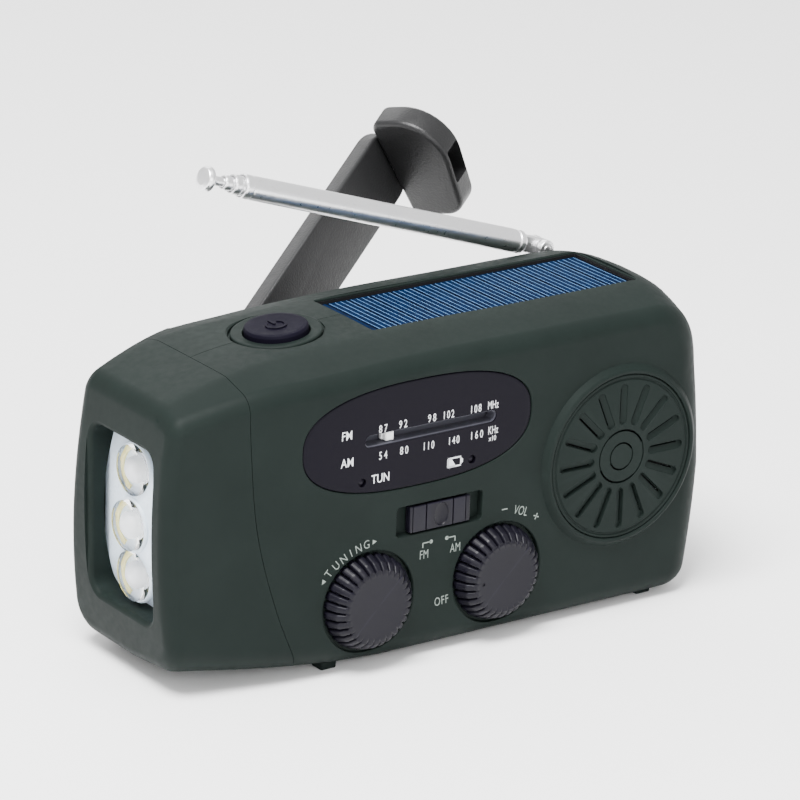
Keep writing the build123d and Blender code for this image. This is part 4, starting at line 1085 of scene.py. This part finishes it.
def build_grille():
    place = front_at(*SPEAKER)
    profile = [(0, 23.45), (15.5, 23.45, 0.12), (15.7, 23.2, 0.1), (16.0, 23.2, 0.1), (16.15, 23.45, 0.12),
               (GRILLE_R, 23.45, 0.2), (GRILLE_R, 21.9), (14.9, 21.9), (14.9, 22.3), (0, 22.3)]
    disc = lathe("grille_disc", place, profile, 160)
    cuts = []
    louvre = stadium(*SPOKE_SIZE)
    floor_h = 23.28 - 0.5 * (louvre()[:, 1] / SPOKE_SIZE[1] + 0.5)
    for i in range(SPOKES):
        spoke = place.turned(360 * i / SPOKES).at(SPOKE_AT)
        rings = [flat_ring(spoke, louvre(0.1), h) for h in (25.0, 23.5)]
        rings.append(spoke.put(np.column_stack([louvre(), floor_h])))
        cuts.append(loft("louvre", rings))
        cuts.append(slab("slit", spoke.at(-0.1, 0.5), rounded_rect(6.4, 0.36, 0.15, 3), 21, 25))
    for radius, width in ((5.3, 0.42), (2.7, 0.36)):
        cuts.append(arc_strip(place, radius, 0.3, 23.22, 24.5, (0, 360)))
        for middle in (75, 255):
            cuts.append(arc_strip(place, radius, width, 21.5, 24.5, (middle - 52, middle + 52)))
    combine(disc, cuts)
    stand_for(disc, "speaker_grille", GREEN)


def arc_strip(place, radius, width, low, high, span, count=97, name="groove"):
    """Strip of rectangular section bent along an arc, or closed on itself over a full turn."""
    r0, r1 = radius - width / 2, radius + width / 2
    section = [(r0, high), (r1, high), (r1, low), (r0, low)]
    angles = np.radians(np.linspace(*span, count))
    rings = [place.put([(r * cos(a), r * sin(a), h) for r, h in section]) for a in angles]
    if span[1] - span[0] >= 360:
        return tube_of(name, rings[:-1] + rings[:1])
    return loft(name, rings)


build_grille()


# ---------------------------------------------------------------- lamp
LEDS_Z = (39.3, 28.5, 18.2)
LENS_BOW, TRAY_BOW = (-57.6, -54.2), (-56.0, -52.6)
LENS_THICK = 1.2
DOME_R, DOME_RISE = 4.9, 2.4


def bowed(x_middle, x_end, z):
    """x of a face that bows out towards the lamp's front."""
    return x_middle + (x_end - x_middle) * ((z - LENS_MIDDLE) / (LENS_HEIGHT / 2 + 1.2)) ** 2


def led_place(z):
    """Place of an LED, and how far out the lens is there."""
    return LEFT.at(0, z), -bowed(*LENS_BOW, z)


def bowed_plate(name, outline, front_x, back_x, edge):
    """Plate across the lamp with a bowed front and back."""

    def ring(uv, xs, lift=0):
        return LAMP_PLACE.put(np.column_stack([uv, lift - bowed(*xs, uv[:, 1] + LENS_MIDDLE)]))

    shrink = (0.03, 0.2, 0.4, 0.6, 0.8, 0.92)
    rings = [ring(outline() * k, front_x) for k in shrink]
    rings += [ring(outline(-edge * s), front_x, -edge * c) for s, c in quarter(3)]
    rings += [ring(outline() * k, back_x) for k in (1.0,) + shrink[::-1]]
    return loft(name, rings)


def build_lens():
    """Bowed pane with a ringed hole and a clear dome for each LED."""
    back = tuple(x + LENS_THICK for x in LENS_BOW)
    pane = rounded_rect(2 * LENS_HALF + 2.0, LENS_HEIGHT + 2.0, 3.2)
    lens = bowed_plate("lens_plate", pane, LENS_BOW, back, 0.2)
    holes, rims = [], []
    for i, z in enumerate(LEDS_Z):
        place, front, r = *led_place(z), DOME_R
        holes.append(rod("hole", place, r, 50, 62, 72))
        rim = [(r, front - 0.6), (r, front + 0.25, 0.1), (r + 0.35, front + 0.3, 0.15),
               (r + 0.6, front - 0.1, 0.2), (r + 0.6, front - 0.6), (r, front - 0.6)]
        rims.append(lathe("rim", place, rim, 72, hollow=True))
        r -= 0.03
        dome = [(0, front - 0.6), (r, front - 0.6), (r, front + 1.3, 0.25),
                (DOME_R - 0.6, front + 1.65, 0.5), (2.6, front + 2.2, 3.0), (0, front + DOME_RISE)]
        ride_with(lathe(f"lens_dome_{i}", place, dome, 96, 50), "lamp_lens", DOME)
    combine(lens, holes)
    combine(lens, rims, "UNION")
    stand_for(lens, "lamp_lens", PANE)


def build_leds():
    """Each LED: a yellow phosphor ring round a white inner dome, both brightened by a painted glow."""
    for i, z in enumerate(LEDS_Z):
        place, front = led_place(z)
        base = [(0, 48.6), (3.4, 48.6), (3.4, front - 2.2), (4.6, front - 1.5, 0.1), (4.6, front - 0.8, 0.1),
                (3.4, front - 0.95, 0.1), (0, front - 1.0)]
        stand_for(lathe(f"led_base_{i}", place, base, 72), "lamp_leds", SILVERED)
        for side in (180, 0):
            arc = arc_strip(place.turned(side), 4.0, 0.95, front - 1.0, front - 0.7, (-66, 66), 40, "arc")
            ride_with(arc, "lamp_leds", PHOSPHOR)
        turns = np.linspace(0, pi / 2, 15)
        core = [(0, front - 0.75)]
        core += [(2.45 * cos(a), front - 0.73 + 2.2 * sin(a)) for a in turns]
        ride_with(lathe(f"led_core_{i}", place, core, 64, 60), "lamp_leds", EMITTER)


def build_tray():
    """Bowed tray with a bowl for each LED."""
    tray = bowed_plate("reflector_tray", rounded_rect(25.0, 33.4, 2.5), TRAY_BOW, (-47.3, -47.3), 0.3)
    bowls = []
    for z in LEDS_Z:
        front = -bowed(*TRAY_BOW, z)
        bowl = [(0, 48.5), (3.6, 48.5, 0.3), (3.9, front - 1.6, 1.0), (4.9, front - 0.2, 0.3),
                (5.1, front + 0.6), (5.1, 60), (0, 60)]
        bowls.append(lathe("bowl", LEFT.at(0, z), bowl, 72))
    combine(tray, bowls)
    stand_for(tray, "lamp_reflector", SILVERED)


build_lens()
build_leds()
build_tray()


# ---------------------------------------------------------------- solar panel
BORDER_TOP, PANEL_LIFT = 61.4, 0.45
STRIPS, FINGERS = 12, 4


def build_solar():
    """Cell strips and their fine fingers on a dark backing, inside a raised border."""
    length, depth, _ = SOLAR_HIGH - SOLAR_LOW
    place = TOP.at((SOLAR_LOW[0] + SOLAR_HIGH[0]) / 2, (SOLAR_LOW[1] + SOLAR_HIGH[1]) / 2, 0)
    top = SOLAR_HIGH[2] + PANEL_LIFT
    panel = slab("solar_backing", place, rounded_rect(length, depth, 0.3), SOLAR_LOW[2], top, 0.1)
    stand_for(panel, "solar_panel", CELL_EDGE)
    outline = rounded_rect(length, depth, 0.35)
    foot = top - 0.3
    section = ((-0.30, foot), (0.18, foot), (0.18, BORDER_TOP), (-0.05, BORDER_TOP), (-0.30, foot))
    border = tube_of("solar_border", [flat_ring(place, outline(grow), h) for grow, h in section])
    ride_with(border, "solar_panel", BLACK)
    start = SOLAR_LOW[0] + 2.4
    pitch = (SOLAR_HIGH[0] - 0.4 - start) / STRIPS
    depth -= 0.9

    def strip(x, width, across, radius, low, high, edge=0.0):
        return slab("strip", TOP.at(x), rounded_rect(width, across, radius, 2), low, high, edge)

    cells, fingers = [strip(start - 1.15, 1.9, depth, 0.1, top - 0.02, top + 0.06, 0.02)], []
    for i in range(STRIPS):
        x = start + pitch * i
        cells.append(strip(x + pitch / 2, pitch - 0.4, depth, 0.1, top - 0.02, top + 0.07, 0.02))
        for k in range(FINGERS):
            line_x = x + 0.55 + (pitch - 1.1) * k / (FINGERS - 1)
            fingers.append(strip(line_x, 0.10, depth - 0.5, 0.03, top, top + 0.09))
    ride_with(merged("solar_cells", cells), "solar_panel", CELL)
    ride_with(merged("solar_fingers", fingers), "solar_panel", FINGER)


build_solar()


# ---------------------------------------------------------------- crank
ARM_TURN, ARM_LIFT = radians(29.8), radians(24.0)
ARM_REACH, ARM_WIDTH, ARM_THICK = 77.1, 15.2, 4.0
GRIP_THICK, RIVET_END = 6.0, 13.2
GRIP_ACROSS, GRIP_TOPS = (-13.3, 11.5), (15.0, 19.2)
GRIP_ROUNDS = (2.5, 2.5, 9.5, 5.0)
PIVOT = np.array(next(j["pos_m"] for j in RECORD["behaviour"]["joints"] if j["name"] == "crank_fold")) / MM
LEVEL = cos(ARM_LIFT)
ARM_U = np.array((LEVEL * cos(ARM_TURN), sin(ARM_LIFT), LEVEL * sin(ARM_TURN)))
ARM_V = np.array((-sin(ARM_TURN), 0, cos(ARM_TURN)))
ARM_H = np.cross(ARM_U, ARM_V)
ARM_PLACE = Place(PIVOT, ARM_U, ARM_V, ARM_H)
GRIP_AT = ARM_PLACE.at(ARM_REACH)


def build_arm():
    half, tip = ARM_WIDTH / 2, ARM_REACH - 4
    blade = [(tip + half * sin(a), -half * cos(a)) for a in np.linspace(0, pi, 40)]
    neck = [(7.6, half), (6.6, half - 1.0), (6.0, 5.5), (0.5, 5.5)]
    shape = np.array(blade + neck + [(u, -v) for u, v in neck[::-1]])
    middle, reach = np.array((ARM_REACH / 2, 0)), np.array((ARM_REACH / 2 + 4, half))

    def inset(grow=0.0):
        return middle + (shape - middle) * (1 + grow / reach)

    arm = slab("arm_blade", ARM_PLACE, inset, -ARM_THICK / 2, ARM_THICK / 2, 0.7, 0.7)
    hinge = Place(PIVOT, ARM_H, ARM_U, ARM_V)
    combine(arm, [slab("arm_barrel", hinge, circle(2.4), -5.5, 5.5, 0.3)], "UNION")
    combine(arm, [rod("pin_hole", hinge, 1.3, -20, 20, 48), rod("rivet_hole", GRIP_AT, 1.5, -20, 20, 48)])
    stand_for(arm, "crank_arm", CRANK)


def build_grip():
    (low, high), base = GRIP_ACROSS, ARM_THICK / 2 + 0.3
    corners = [(low, base), (high, base), (high, GRIP_TOPS[1]), (low, GRIP_TOPS[0])]
    side = Place(GRIP_AT.origin, ARM_V, ARM_H, ARM_U)
    outline = rounded_polygon(corners, GRIP_ROUNDS)
    grip = slab("grip_body", side, outline, -GRIP_THICK / 2, GRIP_THICK / 2, 1.1, 1.1, 7)
    mouth = slab("mouth", GRIP_AT.at(0, -1.25), rounded_rect(4.4, 7.9, 0.5), RIVET_END - 0.9, 40)
    combine(grip, [rod("hole", GRIP_AT, 1.55, 0, 30, 48), mouth])
    stand_for(grip, "crank_grip", CRANK)


def build_rivet():
    base, end = -ARM_THICK / 2, RIVET_END
    profile = [(0, base - 0.8), (2.2, base - 0.75, 0.4), (2.6, base - 0.2, 0.15), (2.6, base), (1.5, base),
               (1.5, end - 0.8), (2.2, end - 0.8), (2.2, end, 0.3), (0, end)]
    stand_for(lathe("rivet", GRIP_AT, profile, 64), "grip_pin", ZINC)


build_arm()
build_grip()
build_rivet()


# ---------------------------------------------------------------- antenna
TUBES = ((2.4, 8.0, 75.5), (1.95, 10.0, 77.8), (1.45, 12.0, 79.8), (0.95, 14.0, 81.8))
MAST_ANGLE = radians(18.0)
MAST_U = np.array((-cos(MAST_ANGLE), 0, sin(MAST_ANGLE)))
MAST_PLACE = Place(ANTENNA, (0, 1, 0), np.cross(MAST_U, (0, 1, 0)), MAST_U)


def build_tubes():
    for i, (radius, start, end) in enumerate(TUBES[:3]):
        inner = TUBES[i + 1][0] + 0.08
        profile = [(inner, start + 1.2), (inner, end - 0.25), (inner + 0.02, end), (radius - 0.12, end, 0.08),
                   (radius + 0.02, end - 0.35, 0.1), (radius + 0.02, end - 1.5, 0.1),
                   (radius - 0.06, end - 1.75, 0.1), (radius, end - 2.2, 0.1), (radius, start),
                   (inner, start), (inner, start + 1.2)]
        tube = lathe(f"tube_{i + 1}", MAST_PLACE, profile, 64, steps=4, hollow=True)
        if i == 0:
            combine(tube, [mast_root(radius)], "UNION")
        stand_for(tube, f"antenna_section_{i + 1}", CHROME)
    radius, start, end = TUBES[3]
    profile = [(0, start), (radius, start, 0.1), (radius, end, 0.4), (1.7, end + 0.9, 0.6),
               (2.45, end + 1.35, 0.25), (2.5, end + 2.0, 0.4), (2.2, end + 2.7, 0.5), (1.3, end + 3.0, 1.0),
               (0, end + 3.05)]
    stand_for(lathe("tip_rod", MAST_PLACE, profile, 64, steps=6), "antenna_section_4", CHROME)


def mast_root(radius):
    """Collar with a groove, and the flat tongue for the tilt pin."""
    profile = [(0, 5.0), (2.0, 5.0, 0.3), (2.35, 5.6, 0.2), (2.35, 6.6, 0.1), (2.1, 6.75, 0.1),
               (2.1, 7.0, 0.1),
               (2.35, 7.15, 0.1), (2.35, 8.1, 0.2), (radius, 8.4), (0, 8.4)]
    collar = lathe("collar", MAST_PLACE, profile, 64, steps=4)
    flat = Place(ANTENNA, MAST_U, np.cross((0, 1, 0), MAST_U), (0, 1, 0))
    tongue = slab("tongue", flat.at(2.6), rounded_rect(8.6, 3.4, 1.69, 10), -0.9, 0.9, 0.2)
    combine(collar, [tongue], "UNION")
    return combine(collar, [rod("eye", flat, 0.85, -5, 5, 32)])


def build_mast_base():
    profile = [(0, 51.8), (1.5, 51.8, 0.2), (1.5, 54.2), (3.4, 54.2, 0.3), (3.4, 56.4, 0.5), (2.4, 57.0, 0.3),
               (0, 57.2)]
    post = lathe("post", MAST_FOOT, profile, 64)
    flat = Place(ANTENNA, *FRONT.axes)
    outline = rounded_rect(3.5, 5.6, (1.74, 1.74, 0.2, 0.2), 10)
    ears = [slab("ear", flat.at(0, -1.05), outline, low, low + 1.5, 0.25) for low in (-2.5, 1.0)]
    combine(post, ears, "UNION")
    combine(post, [rod("eye", flat, 0.8, -5, 5, 32)])
    stand_for(post, "antenna_base", CHROME)
    pin = [(0, -2.7), (0.8, -2.7, 0.15), (0.8, 2.7, 0.15), (0, 2.7)]
    stand_for(lathe("pin", flat, pin, 32), "antenna_pin", CHROME)


build_tubes()
build_mast_base()


# ---------------------------------------------------------------- back and underside
def build_feet():
    low, high = node_box("feet")
    size = 3.6
    outline = rounded_rect(size, size, 0.6)
    for i, x in enumerate((low[0] + size / 2, high[0] - size / 2)):
        for k, y in enumerate((low[1] + size / 2, high[1] - size / 2)):
            foot = slab(f"foot_{i}{k}", TOP.at(x, y), outline, low[2], high[2] + 0.3, 0.0, 0.3)
            stand_for(foot, "feet", GREEN)


def build_screws():
    profile = [(0, -11.0), (1.15, -10.6, 0.2), (1.2, 12.0), (2.1, 12.0), (2.1, 12.9, 0.3), (1.3, 13.9, 0.6),
               (0, 13.9)]
    bit = rounded_rect(2.3, 0.5, 0.05, 2)
    for i, at in enumerate(SCREWS):
        place = rear_at(*at)
        screw = lathe(f"screw_{i}", place, profile, 48)
        combine(screw, [slab("cross", place.turned(a + 20 * i), bit, 13.1, 15) for a in (0, 90)])
        stand_for(screw, "case_screws", ZINC)


def build_cover():
    low, high = node_box("port_cover")
    place = rear_at((low[0] + high[0]) / 2, 0)
    z0, z1 = COVER_Z[0] + 1.4, COVER_Z[1] - 0.3
    outline = rounded_rect(high[0] - low[0], z1 - z0, 0.8)
    plate = slab("cover_plate", place.at(0, (z0 + z1) / 2, 0), outline, 20.9, 22.3, 0.3)
    lip = slab("cover_lip", place.at(0, z1 - 1.25), rounded_rect(5.4, 0.7, 0.3, 4), 22.0, 22.9, 0.2)
    barrel = rod("cover_barrel", along_x(21.6, low[2] + 0.8), 0.8, low[0], high[0], 32)
    combine(plate, [lip, barrel], "UNION")
    stand_for(plate, "port_cover", BLACK)


build_feet()
build_screws()
build_cover()


# ---------------------------------------------------------------- pieces kept as they are in the CAD
FINISHES = (
    (BOARD, 0.0, "lamp_board switch_board main_board"),
    (BLACK, 0.15, "lamp_switch"),
    (BLACK, 0.2, "battery_cradle"),
    (TRACK, 0.1, "dial_scale"),
    (ZINC, 0.05, "usb_port charge_port"),
    (ZINC, 0.1, "pointer_rail speaker_frame compound_axle gearbox_plate"),
    (ZINC, 0.15, "board_screws"),
    (ZINC, 0.2, "volume_control band_switch crank_hinge_pin"),
    (ZINC, 0.4, "generator"),
    (NYLON, 0.0, "drive_gear compound_gear"),
    (NYLON, 0.15, "tuning_shaft volume_shaft crank_bush"),
    (NYLON, 0.2, "rod_clips"),
    (WHITE, 0.3, "tuning_capacitor"),
    (FERRITE, 0.3, "speaker_magnet ferrite_rod"),
    (PAPER, 0.0, "speaker_cone"),
    (GREEN_INNER, 0.1, "board_posts"),
    (COIL, 0.1, "antenna_coil"),
    (WRAP, 0.3, "battery"),
    (CRANK, 0.3, "crank_hub"),
    (BRASS, 0.0, "generator_pinion"),
)
for finish, soft_edge, node_names in FINISHES:
    for node_name in node_names.split():
        dress(node_name, finish, soft_edge)


# ---------------------------------------------------------------- camera, floor and light
CAMERA_AT = Vector((-0.4687, -0.6658, 0.3328))
AZIMUTH, ELEVATION, ROLL = (radians(a) for a in (35.31, 19.60, 1.73))
LENS_MM = 202.5


def build_camera():
    level = Vector((cos(AZIMUTH), -sin(AZIMUTH), 0))
    ahead = Vector((sin(AZIMUTH), cos(AZIMUTH), 0))
    forward = ahead * cos(ELEVATION) - Vector((0, 0, sin(ELEVATION)))
    upright = level.cross(forward)
    right = cos(ROLL) * level + sin(ROLL) * upright
    up = cos(ROLL) * upright - sin(ROLL) * level
    data = bpy.data.cameras.new("camera")
    data.lens = LENS_MM
    data.sensor_width = 36.0
    data.clip_start, data.clip_end = 0.05, 20.0
    camera = new_object("camera", data)
    camera.matrix_world = Matrix.Translation(CAMERA_AT) @ Matrix((right, up, -forward)).transposed().to_4x4()
    bpy.context.scene.camera = camera


def build_floor():
    low, reach = node_box("feet")[0][2], 2500
    corners = [(reach * i, reach * j, low) for i, j in ((-1, -1), (1, -1), (1, 1), (-1, 1))]
    floor = to_object("floor", corners, [(0, 1, 2, 3)])
    look = Look("floor_white")
    look.feed(look.ramp(look.noise(300.0), 0.3, 0.7, ((0.93,) * 3, (0.95,) * 3)), "Base Color")
    look.set(Roughness=0.9, Specular_IOR_Level=0.1)
    floor.data.materials.append(look.material)


LIT_POINT = Vector((0, 0, 0.03))
WORLD_LIGHT = 1.3


def area_light(name, at, size, power):
    """Soft light that faces the middle of the radio."""
    data = bpy.data.lights.new(name, "AREA")
    data.shape = "RECTANGLE"
    data.size, data.size_y = size
    data.energy = power
    light = new_object(name, data)
    light.location = at
    light.rotation_mode = "QUATERNION"
    light.rotation_quaternion = (LIT_POINT - Vector(at)).to_track_quat("-Z", "Y")


def build_lights():
    world = bpy.data.worlds.new("studio")
    world.use_nodes = True
    background = world.node_tree.nodes["Background"]
    background.inputs["Color"].default_value = (1.0, 1.0, 1.0, 1)
    background.inputs["Strength"].default_value = WORLD_LIGHT
    bpy.context.scene.world = world
    area_light("key", (-0.28, -0.15, 0.80), (0.40, 0.40), 24.0)
    area_light("front_fill", (-0.3, -0.8, 0.35), (0.5, 0.4), 4.0)
    area_light("back", (0.2, 0.6, 0.5), (0.6, 0.3), 2.0)


build_camera()
build_floor()
build_lights()
